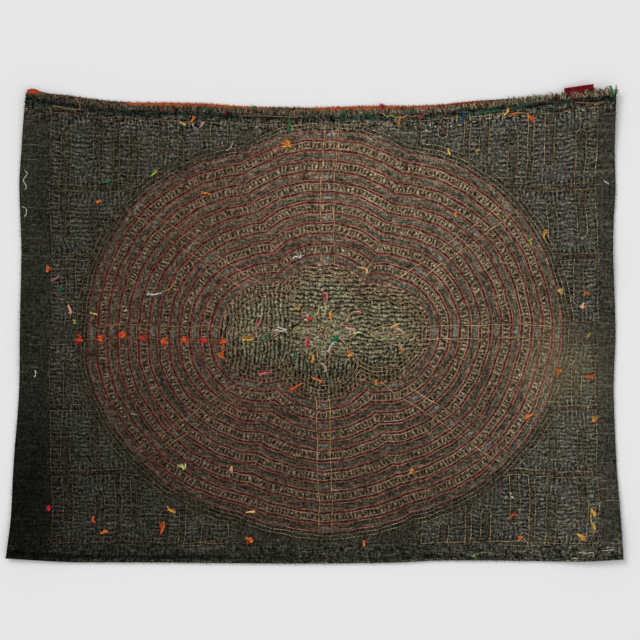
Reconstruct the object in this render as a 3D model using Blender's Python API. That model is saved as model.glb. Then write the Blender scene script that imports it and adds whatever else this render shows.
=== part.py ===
"""A mola panel: a hand-sewn textile that lies face down, so that its stitched back shows.

Everything is in metres. X runs across the panel, Y runs up to its frayed top edge and Z points up.
The origin is under the middle of the panel, on the surface that the panel lies on.
"""

import math
import random
from collections import namedtuple

import bmesh
import bpy
from mathutils import Vector
from mathutils.geometry import delaunay_2d_cdt

MM = 0.001

# The stack of cloth, from the surface up
FACE_THICKNESS = 1.0 * MM
LAYER_GAP = 0.3 * MM
BACK_THICKNESS = 1.2 * MM
BACK_UNDERSIDE = FACE_THICKNESS + LAYER_GAP
BACK_TOP = BACK_UNDERSIDE + BACK_THICKNESS

# The quilted medallion: echo rings round a four-lobed centre
MEDALLION = Vector((6.5, -5.8)) * MM
SIDE_LOBE = 38.0 * MM
UPPER_LOBE = 13.0 * MM
CENTRE_RING = 27.0 * MM
FIRST_SEAM = 34.0 * MM
CHANNELS = 7
CHANNEL_WIDTH = 5.2 * MM
BAND_WIDTH = 8.8 * MM
CHANNEL_RISE = 0.55 * MM
BAND_RISE = 0.3 * MM

# The flower in the medallion's centre
PETALS = 8
FLOWER_RISE = 0.45 * MM
FLOWER_SHARES = (0.14, 0.28, 0.42, 0.56, 0.78, 1.0)
FLOWER_END = 0.7

# The quilted field round the medallion: a framed rectangle, with filled blocks in each quarter of it
FIELD_HALF_WIDTH = 187.0 * MM
FIELD_HALF_HEIGHT = 143.8 * MM
BLOCK_RING = 130.0 * MM
BLOCK_HEM = 3.5 * MM
BLOCK_RISE = 0.45 * MM
FINGER_HALF_WIDTH = 2.6 * MM
FINGER_SHARE = 0.68
FINGER_LEAST = 10.0 * MM
FINGER_CLEAR = 1.0 * MM

# One quarter's blocks, in millimetres from the medallion's middle
Block = namedtuple("Block", "left low right high fingers")
BLOCKS = [
    Block(143.0, 98.0, 184.0, 141.0, 3),
    Block(101.0, 98.0, 139.5, 141.0, 3),
    Block(66.0, 98.0, 97.5, 141.0, 1),
    Block(126.0, 54.0, 184.0, 94.5, 4),
    Block(160.0, 9.0, 184.0, 50.5, 1),
]

# How far the field is pulled up with the sagging top edge, at places across the panel
Pull = namedtuple("Pull", "across up")
PULLS = [
    Pull(-181.0, 7.5),
    Pull(-140.0, 2.8),
    Pull(-51.0, 0.0),
    Pull(58.0, 1.3),
    Pull(147.0, 5.6),
    Pull(188.0, 9.8),
]

# The hand's unevenness: each seam strays this far, over these lengths, in millimetres
Stray = namedtuple("Stray", "sway length start")
STRAYS_ACROSS = [Stray(0.9, 143.0, 0.6), Stray(0.4, 61.0, 2.1)]
STRAYS_UP = [Stray(0.8, 127.0, 1.7), Stray(0.4, 53.0, 4.0)]

# The quarters of the panel, anticlockwise from its lower right one
QUARTERS = ((1, -1), (1, 1), (-1, 1), (-1, -1))

# How the mesh runs round the medallion and along the blocks
SIDE_STEPS = 24
UPPER_STEPS = 12
BORDER_ROWS = 7
FLAT_SHARE = 0.5
SEAM_STEP = 7.0 * MM
SEAM_MERGE = 1.2 * MM
FINGER_TURN_STEPS = 4
CREST_POINTS = 3
CREST_CLEAR = 1.8 * MM
WELD = 0.01 * MM

# The face cloth stays this far inside the back cloth on its left, right and lower edges
FACE_INSET = 0.6 * MM
INSET_EASE = 100.0 * MM
LOWER_EDGE_DEPTH = 1.0 * MM

# The frayed strip on the top edge
FRAY_STRIP = 1.0 * MM
FRAY_THICKNESS = 0.6 * MM
FRAY_PITCH = 2.9 * MM
STRAND_ROOT = 0.9 * MM
STRAND_TIP = 0.3 * MM
STRAND_SHORT = 0.7 * MM
STRAND_LONG = 2.0 * MM
STRAND_SLANT = 0.6 * MM
STRAND_SEED = 5

# The scrap of red tape left in the top edge
SCRAP_LEFT = 170.2 * MM
SCRAP_RIGHT = 189.8 * MM
SCRAP_TOP = 163.2 * MM
SCRAP_SLOPE = 1.2 * MM
SCRAP_GAP = 0.4 * MM
SCRAP_STEPS = 6

# Edges sharper than this aren't shaded smooth
SHARP_ANGLE = math.radians(50)

# The outline, as points in millimetres from the panel's middle
EdgePoint = namedtuple("EdgePoint", "across up")
RIGHT_EDGE = [
    EdgePoint(210.0, -160.0),
    EdgePoint(208.0, -126.0),
    EdgePoint(206.0, -98.0),
    EdgePoint(203.9, -44.0),
    EdgePoint(205.2, -3.0),
    EdgePoint(203.2, 52.0),
    EdgePoint(205.2, 93.0),
    EdgePoint(203.9, 134.0),
    EdgePoint(205.0, 158.2),
]
TOP_EDGE = [
    EdgePoint(205.0, 158.2),
    EdgePoint(175.0, 156.0),
    EdgePoint(147.0, 153.2),
    EdgePoint(120.0, 150.4),
    EdgePoint(79.0, 146.4),
    EdgePoint(38.0, 145.6),
    EdgePoint(-3.0, 144.4),
    EdgePoint(-44.0, 145.8),
    EdgePoint(-85.0, 147.6),
    EdgePoint(-126.0, 148.5),
    EdgePoint(-153.0, 151.1),
    EdgePoint(-180.0, 155.2),
    EdgePoint(-197.5, 156.6),
]
LEFT_EDGE = [
    EdgePoint(-197.5, 156.6),
    EdgePoint(-199.8, 120.0),
    EdgePoint(-201.2, 93.0),
    EdgePoint(-199.8, 52.0),
    EdgePoint(-200.5, 11.0),
    EdgePoint(-201.2, -44.0),
    EdgePoint(-205.3, -98.0),
    EdgePoint(-206.2, -126.0),
    EdgePoint(-210.0, -159.5),
]
LOWER_EDGE = [
    EdgePoint(-210.0, -159.5),
    EdgePoint(-194.0, -161.9),
    EdgePoint(-110.0, -162.5),
    EdgePoint(-17.0, -163.2),
    EdgePoint(52.0, -162.6),
    EdgePoint(85.0, -161.2),
    EdgePoint(134.0, -161.3),
    EdgePoint(175.0, -161.9),
    EdgePoint(210.0, -160.0),
]
EDGE_STEPS = 8

# How far the face cloth shows past the back cloth's top edge, in millimetres
Peek = namedtuple("Peek", "across past")
FACE_PEEKS = [
    Peek(-198.0, 3.2),
    Peek(-188.0, 3.2),
    Peek(-181.0, 0.2),
    Peek(-130.0, 0.2),
    Peek(-117.0, 2.9),
    Peek(-32.0, 2.9),
    Peek(-12.0, 1.2),
    Peek(22.0, 1.8),
    Peek(40.0, 2.9),
    Peek(122.0, 3.1),
    Peek(138.0, 0.2),
    Peek(206.0, 0.2),
]

# The middle of the panel, which lies flat: the cloth rises evenly past it, out to every edge
REST_HALF_WIDTH = 160.0 * MM
REST_HALF_HEIGHT = 115.0 * MM
EDGE_SLOPE = 0.014

# Where the edges lift further off the surface, in millimetres
Lift = namedtuple("Lift", "across up reach height")
LIFTS = [
    Lift(-198.0, 157.0, 55.0, 3.2),
    Lift(205.0, 158.0, 61.0, 4.6),
    Lift(-210.0, -160.0, 62.0, 2.2),
    Lift(210.0, -160.0, 66.0, 4.2),
    Lift(-203.0, -15.0, 40.0, 1.8),
    Lift(205.0, 42.0, 36.0, 2.2),
]


def clear_scene():
    """Remove the objects that a new file starts with."""
    for item in list(bpy.data.objects):
        bpy.data.objects.remove(item, do_unlink=True)


def cotton(name, colour, roughness=0.9):
    """A matt cotton of one colour."""
    material = bpy.data.materials.new(name)
    material.use_nodes = True
    shader = material.node_tree.nodes["Principled BSDF"]
    shader.inputs["Base Color"].default_value = (*colour, 1.0)
    shader.inputs["Roughness"].default_value = roughness
    shader.inputs["Metallic"].default_value = 0.0
    return material


def eased(share):
    """0 to 1 with a soft start and a soft end."""
    return share * share * (3.0 - 2.0 * share)


def table_value(table, across):
    """The second column of a table at a place across the panel, eased between its rows, in metres."""
    at = across / MM
    if at <= table[0][0]:
        return table[0][1] * MM
    for low, high in zip(table, table[1:]):
        if at <= high[0]:
            share = (at - low[0]) / (high[0] - low[0])
            return (low[1] + (high[1] - low[1]) * eased(share)) * MM
    return table[-1][1] * MM


def smooth_line(table):
    """A Catmull-Rom curve through an edge's points, as points in metres, without its last one."""
    spots = [Vector(p) * MM for p in table]
    spots = [2 * spots[0] - spots[1], *spots, 2 * spots[-1] - spots[-2]]
    line = []
    for before, a, b, after in zip(spots, spots[1:], spots[2:], spots[3:]):
        for step in range(EDGE_STEPS):
            t = step / EDGE_STEPS
            line.append(
                0.5
                * (
                    2 * a
                    + (b - before) * t
                    + (2 * before - 5 * a + 4 * b - after) * t**2
                    + (3 * a - before - 3 * b + after) * t**3
                )
            )
    return line


def height_on(line, across):
    """The height up the panel of a line that runs across it, at a place across."""
    for left, right in zip(line, line[1:]):
        if left.x <= across <= right.x:
            share = (across - left.x) / (right.x - left.x)
            return left.y + (right.y - left.y) * share
    return line[0].y if across < line[0].x else line[-1].y


def lift(place):
    """How far the cloth stands off the surface at a place on the panel."""
    past_side = max(abs(place[0]) - REST_HALF_WIDTH, 0.0)
    past_end = max(abs(place[1]) - REST_HALF_HEIGHT, 0.0)
    height = EDGE_SLOPE * math.hypot(past_side, past_end) / MM
    for spot in LIFTS:
        away = (Vector(place) / MM - Vector((spot.across, spot.up))).length
        if away < spot.reach:
            height += spot.height * math.cos(math.pi / 2 * away / spot.reach) ** 2
    return height * MM


def strayed(place):
    """Where a hand sews a point that a ruler would put at this place."""
    across = sum(
        stray.sway * math.sin(math.tau * place.y / MM / stray.length + stray.start)
        for stray in STRAYS_ACROSS
    )
    up = sum(
        stray.sway * math.sin(math.tau * place.x / MM / stray.length + stray.start)
        for stray in STRAYS_UP
    )
    upper_share = max((place.y - MEDALLION.y) / FIELD_HALF_HEIGHT, 0.0)
    pulled = Vector((0, table_value(PULLS, place.x) * upper_share**2))
    return place + Vector((across, up)) * MM + pulled


def cusp(radius):
    """Where a side lobe's ring and an upper lobe's ring of this radius meet, from the medallion's middle."""
    span = math.hypot(SIDE_LOBE, UPPER_LOBE)
    along = math.sqrt(radius**2 - span**2 / 4)
    return Vector(
        (
            SIDE_LOBE / 2 + along * UPPER_LOBE / span,
            UPPER_LOBE / 2 + along * SIDE_LOBE / span,
        )
    )


def ring(radius):
    """One echo ring: the outer line of four circles of this radius, anticlockwise from its lower right cusp."""
    corner = cusp(radius)
    side = math.atan2(corner.y, corner.x - SIDE_LOBE)
    upper = math.atan2(corner.y - UPPER_LOBE, corner.x)
    arcs = [
        (Vector((SIDE_LOBE, 0)), -side, side, SIDE_STEPS),
        (Vector((0, UPPER_LOBE)), upper, math.pi - upper, UPPER_STEPS),
        (Vector((-SIDE_LOBE, 0)), math.pi - side, math.pi + side, SIDE_STEPS),
        (Vector((0, -UPPER_LOBE)), math.pi + upper, 2 * math.pi - upper, UPPER_STEPS),
    ]
    line = []
    for middle, start, end, steps in arcs:
        for step in range(steps):
            angle = start + (end - start) * step / steps
            out = Vector((math.cos(angle), math.sin(angle)))
            line.append(strayed(MEDALLION + middle + radius * out))
    return line


def seam_rows():
    """Each ring's radius and rise, from the first seam out: channels and bands take turns, with seams between."""
    rows = [(FIRST_SEAM, 0.0)]
    radius = FIRST_SEAM
    for channel in range(CHANNELS):
        rows.append((radius + CHANNEL_WIDTH / 2, CHANNEL_RISE))
        radius += CHANNEL_WIDTH
        rows.append((radius, 0.0))
        if channel < CHANNELS - 1:
            rows.append((radius + BAND_WIDTH / 3, BAND_RISE))
            rows.append((radius + BAND_WIDTH * 2 / 3, BAND_RISE))
            radius += BAND_WIDTH
            rows.append((radius, 0.0))
    return rows


def flower_row(share):
    """A row inside the centre ring, drawn in to a share of it, with the flower's petals raised."""
    row = []
    for place in ring(CENTRE_RING):
        inside = MEDALLION + (place - MEDALLION) * share
        angle = math.atan2(inside.y - MEDALLION.y, inside.x - MEDALLION.x)
        petal = 0.5 + 0.5 * math.cos(PETALS * angle)
        fade = math.sin(math.pi * min(share / FLOWER_END, 1.0))
        row.append((inside, FLOWER_RISE * petal * fade))
    return row


def back_outline():
    """The back cloth's edge, anticlockwise from its lower right corner."""
    return [
        place
        for edge in (RIGHT_EDGE, TOP_EDGE, LEFT_EDGE, LOWER_EDGE)
        for place in smooth_line(edge)
    ]


def face_outline():
    """The face cloth's edge: a little inside the back cloth's, but past it where it shows along the top."""
    line = []
    corner = EDGE_STEPS * (len(RIGHT_EDGE) - 1)
    top_end = corner + EDGE_STEPS * (len(TOP_EDGE) - 1)
    for number, place in enumerate(back_outline()):
        inset = FACE_INSET * min(1.0, abs(place.x) / INSET_EASE)
        x = place.x - math.copysign(inset, place.x)
        if corner <= number <= top_end:
            line.append(Vector((x, place.y + table_value(FACE_PEEKS, place.x))))
        else:
            low = place.y < LOWER_EDGE[-1].up * MM + LOWER_EDGE_DEPTH
            line.append(Vector((x, place.y + (FACE_INSET if low else 0.0))))
    return line


def crossing(line, direction):
    """Where a ray from the medallion's middle leaves a closed outline."""
    side = Vector((-direction.y, direction.x))
    furthest = None
    for a, b in zip(line, line[1:] + line[:1]):
        from_a, from_b = a - MEDALLION, b - MEDALLION
        reach_a, reach_b = from_a.dot(side), from_b.dot(side)
        if (reach_a <= 0) != (reach_b <= 0):
            hit = from_a.lerp(from_b, reach_a / (reach_a - reach_b))
            if hit.dot(direction) > 0:
                furthest = hit
    return MEDALLION + furthest


def corners_of(line):
    """The four corners of an outline: its points furthest out along each diagonal."""
    return [
        max(line, key=lambda place: place.x * across + place.y * up)
        for across, up in QUARTERS
    ]


def edge_row(outline, last_ring):
    """The outline's point straight out from each point of the last ring, with its corners kept."""
    directions = [(place - MEDALLION).normalized() for place in last_ring]
    row = [crossing(outline, direction) for direction in directions]
    for own, shared in zip(corners_of(outline), corners_of(back_outline())):
        towards = (shared - MEDALLION).normalized()
        nearest = max(
            range(len(row)), key=lambda number: directions[number].dot(towards)
        )
        row[nearest] = own
    return row


def top_line():
    """The back cloth's top edge as it is meshed, from left to right."""
    row = edge_row(back_outline(), ring(seam_rows()[-1][0]))
    lowest = min(point.up for point in TOP_EDGE) * MM
    return sorted(
        (place for place in row if place.y >= lowest - LAYER_GAP),
        key=lambda place: place.x,
    )


def plain_rows(outline):
    """The rows that a plain side needs: two on its flat middle, and some from there out to the edge."""
    last_seam = ring(seam_rows()[-1][0])
    rest = [
        Vector((across * REST_HALF_WIDTH, up * REST_HALF_HEIGHT))
        for across, up in QUARTERS
    ]
    inner = edge_row(rest, last_seam)
    outer = edge_row(outline, last_seam)
    rows = [[(MEDALLION.lerp(place, FLAT_SHARE), 0.0) for place in inner]]
    for number in range(BORDER_ROWS + 1):
        share = number / BORDER_ROWS
        rows.append([(a.lerp(b, share), 0.0) for a, b in zip(inner, outer)])
    return rows


def quilted_rows():
    """The rows of the back cloth's upper side, from the flower out to the last seam."""
    rows = [flower_row(share) for share in FLOWER_SHARES]
    rows += [
        [(place, rise) for place in ring(radius)] for radius, rise in seam_rows()
    ]
    return rows


def in_rings(place, radius):
    """Whether a place, from the medallion's middle, lies in a side lobe's circle of this radius."""
    return (place - Vector((SIDE_LOBE, 0))).length < radius


def way_out(place, target, radius):
    """Where the way from a place in a side lobe's circle to a target outside it leaves the circle."""
    start, way = place - Vector((SIDE_LOBE, 0)), target - place
    half = start.dot(way)
    root = math.sqrt(half**2 - way.dot(way) * (start.dot(start) - radius**2))
    return place + way * (root - half) / way.dot(way)


def block_line(block, inset):
    """A block's outline, drawn in by an inset and cut back where the medallion's rings reach into it."""
    left, low = block.left * MM + inset, block.low * MM + inset
    right, high = block.right * MM - inset, block.high * MM - inset
    corners = [Vector(c) for c in ((left, low), (right, low), (right, high), (left, high))]
    radius = BLOCK_RING + inset
    line = []
    for a, b in zip(corners, corners[1:] + corners[:1]):
        steps = max(1, round((b - a).length / SEAM_STEP))
        for step in range(steps):
            place, after = a.lerp(b, step / steps), a.lerp(b, (step + 1) / steps)
            spots = [place]
            if in_rings(place, radius):
                spots = [way_out(place, corners[2], radius)]
                if not in_rings(after, radius):
                    spots.append(way_out(place, after, radius))
            elif in_rings(after, radius):
                spots.append(way_out(after, place, radius))
            line += [
                spot
                for spot in spots
                if all((spot - other).length > SEAM_MERGE for other in line)
            ]
    return line


def ring_floor(across, low, inset):
    """How low a block's inside reaches at a place across it: its own floor, or the rings where they are higher."""
    radius, reach = BLOCK_RING + inset, across - SIDE_LOBE
    return max(low, math.sqrt(max(radius**2 - reach**2, 0.0)))


def finger_lines(block):
    """A block's slit fingers, by turns from its upper and its lower side, and the crest points between them."""
    low, high = block.low * MM + BLOCK_HEM, block.high * MM - BLOCK_HEM
    width = (block.right - block.left) * MM / block.fingers
    fingers, crests = [], []
    for number in range(block.fingers):
        across = block.left * MM + width * (number + 0.5)
        floor = ring_floor(across - FINGER_HALF_WIDTH, low, BLOCK_HEM)
        tall = high - floor
        if tall < FINGER_LEAST:
            continue
        hanging = number % 2 == 0
        root = high - FINGER_CLEAR if hanging else floor + FINGER_CLEAR
        way = -1 if hanging else 1
        turn = root + way * (FINGER_SHARE * tall - FINGER_HALF_WIDTH)
        half = FINGER_HALF_WIDTH
        finger = [Vector((across - half, root))]
        for step in range(FINGER_TURN_STEPS + 1):
            angle = math.pi * step / FINGER_TURN_STEPS
            finger.append(
                Vector((across - half * math.cos(angle), turn + way * half * math.sin(angle)))
            )
        fingers.append(finger + [Vector((across + half, root))])
        for step in range(CREST_POINTS):
            share = (step + 0.5) / CREST_POINTS
            crests.append(Vector((across, root + (turn - root) * share)))
            beside = across + width / 2
            foot = ring_floor(beside, low, BLOCK_HEM)
            if number < block.fingers - 1 and high - foot > FINGER_LEAST:
                crests.append(Vector((beside, foot + (high - foot) * share)))
    return fingers, crests


def field_lines():
    """Every seam line and crest of the border field: lists of points, each with a rise and whether it closes."""
    corners = [
        Vector((across * FIELD_HALF_WIDTH, up * FIELD_HALF_HEIGHT))
        for across, up in QUARTERS
    ]
    frame = []
    for a, b in zip(corners, corners[1:] + corners[:1]):
        steps = round((b - a).length / SEAM_STEP / 2)
        frame += [a.lerp(b, step / steps) for step in range(steps)]
    lines = [(frame, 0.0, True)]
    for across, up in QUARTERS:
        for block in BLOCKS:
            fingers, crests = finger_lines(block)
            drawn = [(block_line(block, 0.0), 0.0, True)]
            drawn += [(block_line(block, BLOCK_HEM / 2), BLOCK_RISE, True)]
            drawn += [(finger, 0.0, False) for finger in fingers]
            seams = [place for line, _, _ in drawn for place in line]
            drawn += [
                ([crest], BLOCK_RISE, False)
                for crest in crests
                if min((crest - place).length for place in seams) > CREST_CLEAR
            ]
            for line, rise, closed in drawn:
                turned = [Vector((place.x * across, place.y * up)) for place in line]
                lines.append((turned, rise, closed))
    return [
        ([strayed(MEDALLION + place) for place in line], rise, closed)
        for line, rise, closed in lines
    ]


def add_field(mesh, inner, outline, height):
    """Fill the border between the last seam and the edge, with the blocks' seams and crests as its points."""
    edge = edge_row(outline, [Vector(vertex.co[:2]) for vertex in inner])
    outer = [
        mesh.verts.new((place.x, place.y, height + lift(place))) for place in edge
    ]
    places, known, bounds = [], [], []
    for loop in (inner, outer):
        first = len(places)
        places += [Vector(vertex.co[:2]) for vertex in loop]
        known += loop
        bounds += [
            (first + n, first + (n + 1) % len(loop)) for n in range(len(loop))
        ]
    for line, rise, closed in field_lines():
        first, count = len(places), len(line)
        places += line
        known += [
            mesh.verts.new((place.x, place.y, height + rise + lift(place)))
            for place in line
        ]
        bounds += [
            (first + n, first + (n + 1) % count)
            for n in range(count if closed else count - 1)
            if count > 1
        ]
    spots, _, faces, sources, _, _ = delaunay_2d_cdt(places, bounds, [], 0, WELD)
    vertices = [
        known[min(source)]
        if source
        else mesh.verts.new((spot.x, spot.y, height + lift(spot)))
        for spot, source in zip(spots, sources)
    ]
    hole = [vertex.co.xy for vertex in inner]
    for corners in faces:
        middle = sum((spots[c] for c in corners), Vector((0, 0))) / len(corners)
        if not inside(middle, hole) and inside(middle, edge):
            mesh.faces.new([vertices[c] for c in corners])
    return outer


def inside(place, line):
    """Whether a place lies inside a closed line."""
    odd = False
    for a, b in zip(line, line[1:] + line[:1]):
        if (a.y > place.y) != (b.y > place.y):
            if place.x < a.x + (b.x - a.x) * (place.y - a.y) / (b.y - a.y):
                odd = not odd
    return odd


def side_of_cloth(mesh, rows, height, faces_up):
    """Add one side of a cloth to a mesh, and return its outermost row of vertices."""
    loops = []
    for row in rows:
        loops.append(
            [
                mesh.verts.new((place.x, place.y, height + rise + lift(place)))
                for place, rise in row
            ]
        )
    middle = mesh.verts.new((*MEDALLION, height))
    around = len(loops[0])
    for here in range(around):
        there = (here + 1) % around
        faces = [(middle, loops[0][here], loops[0][there])]
        for inner, outer in zip(loops, loops[1:]):
            faces.append((inner[here], outer[here], outer[there]))
            faces.append((inner[here], outer[there], inner[there]))
        for corners in faces:
            mesh.faces.new(corners if faces_up else corners[::-1])
    return loops[-1]


def named_object(name, mesh, material):
    """Turn a finished bmesh into a smooth-shaded object with its own material."""
    data = bpy.data.meshes.new(name)
    mesh.to_mesh(data)
    mesh.free()
    data.shade_smooth()
    data.set_sharp_from_angle(angle=SHARP_ANGLE)
    data.materials.append(material)
    item = bpy.data.objects.new(name, data)
    bpy.context.collection.objects.link(item)
    return item


def join_edges(mesh, upper, lower):
    """Close a cloth's side between its upper and its lower edge."""
    around = len(upper)
    for here in range(around):
        there = (here + 1) % around
        mesh.faces.new((upper[here], lower[here], lower[there], upper[there]))


def back_cloth(material):
    """The cloth that shows: quilted rings and blocks above, and a plain underside."""
    mesh = bmesh.new()
    outline = back_outline()
    last_seam = side_of_cloth(mesh, quilted_rows(), BACK_TOP, True)
    upper = add_field(mesh, last_seam, outline, BACK_TOP)
    lower = side_of_cloth(mesh, plain_rows(outline), BACK_UNDERSIDE, False)
    join_edges(mesh, upper, lower)
    loose = [vertex for vertex in mesh.verts if not vertex.link_faces]
    bmesh.ops.delete(mesh, geom=loose, context="VERTS")
    return named_object("back_cloth", mesh, material)


def face_cloth(material):
    """The cloth of the hidden face, which shows only past the top edge."""
    mesh = bmesh.new()
    rows = plain_rows(face_outline())
    upper = side_of_cloth(mesh, rows, FACE_THICKNESS, True)
    lower = side_of_cloth(mesh, rows, 0.0, False)
    join_edges(mesh, upper, lower)
    return named_object("face_cloth", mesh, material)


def strand_lengths(count):
    """A frayed strand's length and slant for each place along the edge, the same on every run."""
    dice = random.Random(STRAND_SEED)
    return [
        (
            dice.uniform(STRAND_SHORT, STRAND_LONG),
            dice.uniform(-STRAND_SLANT, STRAND_SLANT),
        )
        for _ in range(count)
    ]


def fray_columns():
    """Stations along the frayed strip: where it is across the panel, and the strand that starts there, if any."""
    left = TOP_EDGE[-1].across * MM + FRAY_PITCH
    right = TOP_EDGE[0].across * MM - FRAY_PITCH
    count = int((right - left) / FRAY_PITCH)
    columns = []
    for number, strand in enumerate(strand_lengths(count)):
        start = left + (right - left) * number / count
        columns.append((start, None))
        columns.append((start + (FRAY_PITCH - STRAND_ROOT) / 2, strand))
        columns.append((start + (FRAY_PITCH + STRAND_ROOT) / 2, None))
    columns.append((right, None))
    return columns


def top_fray(edge, material):
    """The loosened threads of the top edge: strands of four sides, fused to a narrow strip."""
    mesh = bmesh.new()
    stations = []
    for across, strand in fray_columns():
        low = height_on(edge, across) + LAYER_GAP
        base = BACK_UNDERSIDE + LAYER_GAP + lift((across, low))
        corners = [
            mesh.verts.new((across, low + up, base + z))
            for up, z in (
                (0.0, 0.0),
                (FRAY_STRIP, 0.0),
                (FRAY_STRIP, FRAY_THICKNESS),
                (0.0, FRAY_THICKNESS),
            )
        ]
        stations.append((corners, strand))
    for (near, strand), (far, _) in zip(stations, stations[1:]):
        for first, second in ((0, 1), (2, 3), (3, 0)):
            mesh.faces.new((near[first], near[second], far[second], far[first]))
        if strand is None:
            mesh.faces.new((near[1], near[2], far[2], far[1]))
        else:
            add_strand(mesh, near, far, *strand)
    mesh.faces.new(stations[0][0][::-1])
    mesh.faces.new(stations[-1][0])
    bmesh.ops.recalc_face_normals(mesh, faces=mesh.faces)
    return named_object("top_fray", mesh, material)


def add_strand(mesh, near, far, length, slant):
    """One strand, tapered from its root between two stations to a narrow tip."""
    middle = (near[1].co + far[2].co) / 2
    half = STRAND_TIP / 2
    tip = middle + Vector((slant, length, 0))
    ends = [
        mesh.verts.new(tip + Vector((x * half, 0, z * half)))
        for x, z in ((-1, -1), (-1, 1), (1, 1), (1, -1))
    ]
    roots = [near[1], near[2], far[2], far[1]]
    for here in range(4):
        there = (here + 1) % 4
        mesh.faces.new((roots[here], roots[there], ends[there], ends[here]))
    mesh.faces.new(ends)


def red_scrap(edge, material):
    """A short end of red tape that stands out from under the frayed edge, level with the face cloth."""
    mesh = bmesh.new()
    loops = []
    for step in range(SCRAP_STEPS + 1):
        share = step / SCRAP_STEPS
        across = SCRAP_LEFT + (SCRAP_RIGHT - SCRAP_LEFT) * share
        past = table_value(FACE_PEEKS, across) + SCRAP_GAP
        root = height_on(edge, across) + past
        tip = SCRAP_TOP - SCRAP_SLOPE * (1 - share)
        base = lift((across, root))
        loops.append(
            [
                mesh.verts.new((across, root, base)),
                mesh.verts.new((across, tip, base)),
                mesh.verts.new((across, tip, base + FACE_THICKNESS)),
                mesh.verts.new((across, root, base + FACE_THICKNESS)),
            ]
        )
    for near, far in zip(loops, loops[1:]):
        for here in range(4):
            there = (here + 1) % 4
            mesh.faces.new((near[here], near[there], far[there], far[here]))
    mesh.faces.new(loops[0][::-1])
    mesh.faces.new(loops[-1])
    bmesh.ops.recalc_face_normals(mesh, faces=mesh.faces)
    return named_object("red_scrap", mesh, material)


def build():
    """The whole panel: back cloth, face cloth, frayed edge and scrap."""
    clear_scene()
    back_cloth(cotton("back_cotton", (0.075, 0.068, 0.048)))
    face_cloth(cotton("face_cotton", (0.55, 0.12, 0.03)))
    top_fray(top_line(), cotton("frayed_cotton", (0.16, 0.13, 0.09)))
    red_scrap(top_line(), cotton("scrap_cotton", (0.27, 0.01, 0.02)))


build()
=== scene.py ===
"""Looks for a mola panel: hand-sewn cotton cloths that lie face down, so that the stitched back shows.

The sewing plan is drawn in millimetres, and MM turns it to metres as it becomes meshes.
X runs across the panel, Y runs up to its frayed top edge and Z points off the floor.
"""

import math
import random
from collections import namedtuple

import bmesh
import bpy
import numpy as np
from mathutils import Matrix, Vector, noise
from mathutils.kdtree import KDTree


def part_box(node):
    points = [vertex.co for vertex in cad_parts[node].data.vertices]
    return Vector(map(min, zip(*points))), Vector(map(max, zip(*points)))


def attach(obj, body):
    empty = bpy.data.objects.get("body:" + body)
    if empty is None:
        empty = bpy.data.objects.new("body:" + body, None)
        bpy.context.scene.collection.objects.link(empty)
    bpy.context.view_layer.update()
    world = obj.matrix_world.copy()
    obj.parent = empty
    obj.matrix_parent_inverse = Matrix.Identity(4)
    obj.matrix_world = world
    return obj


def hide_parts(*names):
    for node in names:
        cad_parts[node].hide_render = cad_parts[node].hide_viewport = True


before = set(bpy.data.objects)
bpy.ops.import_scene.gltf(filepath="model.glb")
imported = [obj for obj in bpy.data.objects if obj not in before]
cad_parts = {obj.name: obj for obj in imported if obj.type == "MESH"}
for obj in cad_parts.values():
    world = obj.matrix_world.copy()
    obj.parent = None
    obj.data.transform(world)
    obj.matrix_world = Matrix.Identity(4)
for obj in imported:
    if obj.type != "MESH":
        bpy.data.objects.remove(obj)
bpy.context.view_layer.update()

MM = 0.001
PER_METRE = 1000.0
ROOT = "root"
GLOSS = 0.05

# The stack of cloth, in millimetres off the floor, as the solids have it
FACE_TOP = 1.0
BACK_UNDERSIDE = 1.3
BACK_TOP = 2.5
EDGE_THICKNESS = 0.5

# The quilted medallion, in millimetres
MEDALLION = np.array((6.5, -5.8))
SIDE_LOBE = 38.0
UPPER_LOBE = 13.0
FIRST_SEAM = 34.0
CHANNELS = 7
CHANNEL_WIDTH = 5.2
BAND_WIDTH = 8.8
REPEAT = CHANNEL_WIDTH + BAND_WIDTH
LAST_SEAM = FIRST_SEAM + CHANNELS * CHANNEL_WIDTH + (CHANNELS - 1) * BAND_WIDTH
CHANNEL_RISE = 0.55
BAND_RISE = 0.3
BAND_ROWS = (-2.3, 2.3)
CENTRE_RINGS = (31.4, 28.8, 26.2, 23.4)
OUTER_RINGS = (125.7, 128.3)

# The flower and the leaves in its centre
PETALS = 8
PETAL_LENGTH = 21.5
PETAL_WAIST = 9.0
FLOWER_EYE = 4.2
LEAF_MIDDLE = 45.0
LEAF_LENGTH = 30.0
LEAF_WIDTH = 12.0

# How far apart the points of the plan's lines are, in millimetres
PLAN_STEP = 1.0

# The spokes that cross the rings, as angles in degrees, and how far their two lines lie apart
SPOKES = (0.0, 33.0, 88.0, 147.0, 180.0, 214.0, 270.0, 325.0)
SPOKE_GAP = 9.0
RAY_LENGTH = 190.0

# What stands for far off where a place lies near no seam or spoke, in millimetres
FAR_OFF = 30.0

# How wide the soft edge of a pale part is, in millimetres
PALE_EDGE = 1.5

# The stitched field and its blocks, in millimetres from the medallion's middle
FIELD_HALF_WIDTH = 187.0
FIELD_HALF_HEIGHT = 143.8
BLOCK_RING = 131.5
BLOCK_RISE = 0.45
SLIT_HALF_WIDTH = 3.3
SLIT_SHARE = 0.74
SLIT_LEAST = 12.0
Block = namedtuple("Block", "left low right high slits")
BLOCKS = [
    Block(143.0, 98.0, 186.0, 143.0, 2),
    Block(99.5, 98.0, 139.0, 143.0, 2),
    Block(66.0, 98.0, 95.5, 143.0, 1),
    Block(126.0, 53.0, 186.0, 94.0, 3),
    Block(160.0, 8.0, 186.0, 49.0, 1),
]
QUARTERS = ((1, -1), (1, 1), (-1, 1), (-1, -1))

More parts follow.
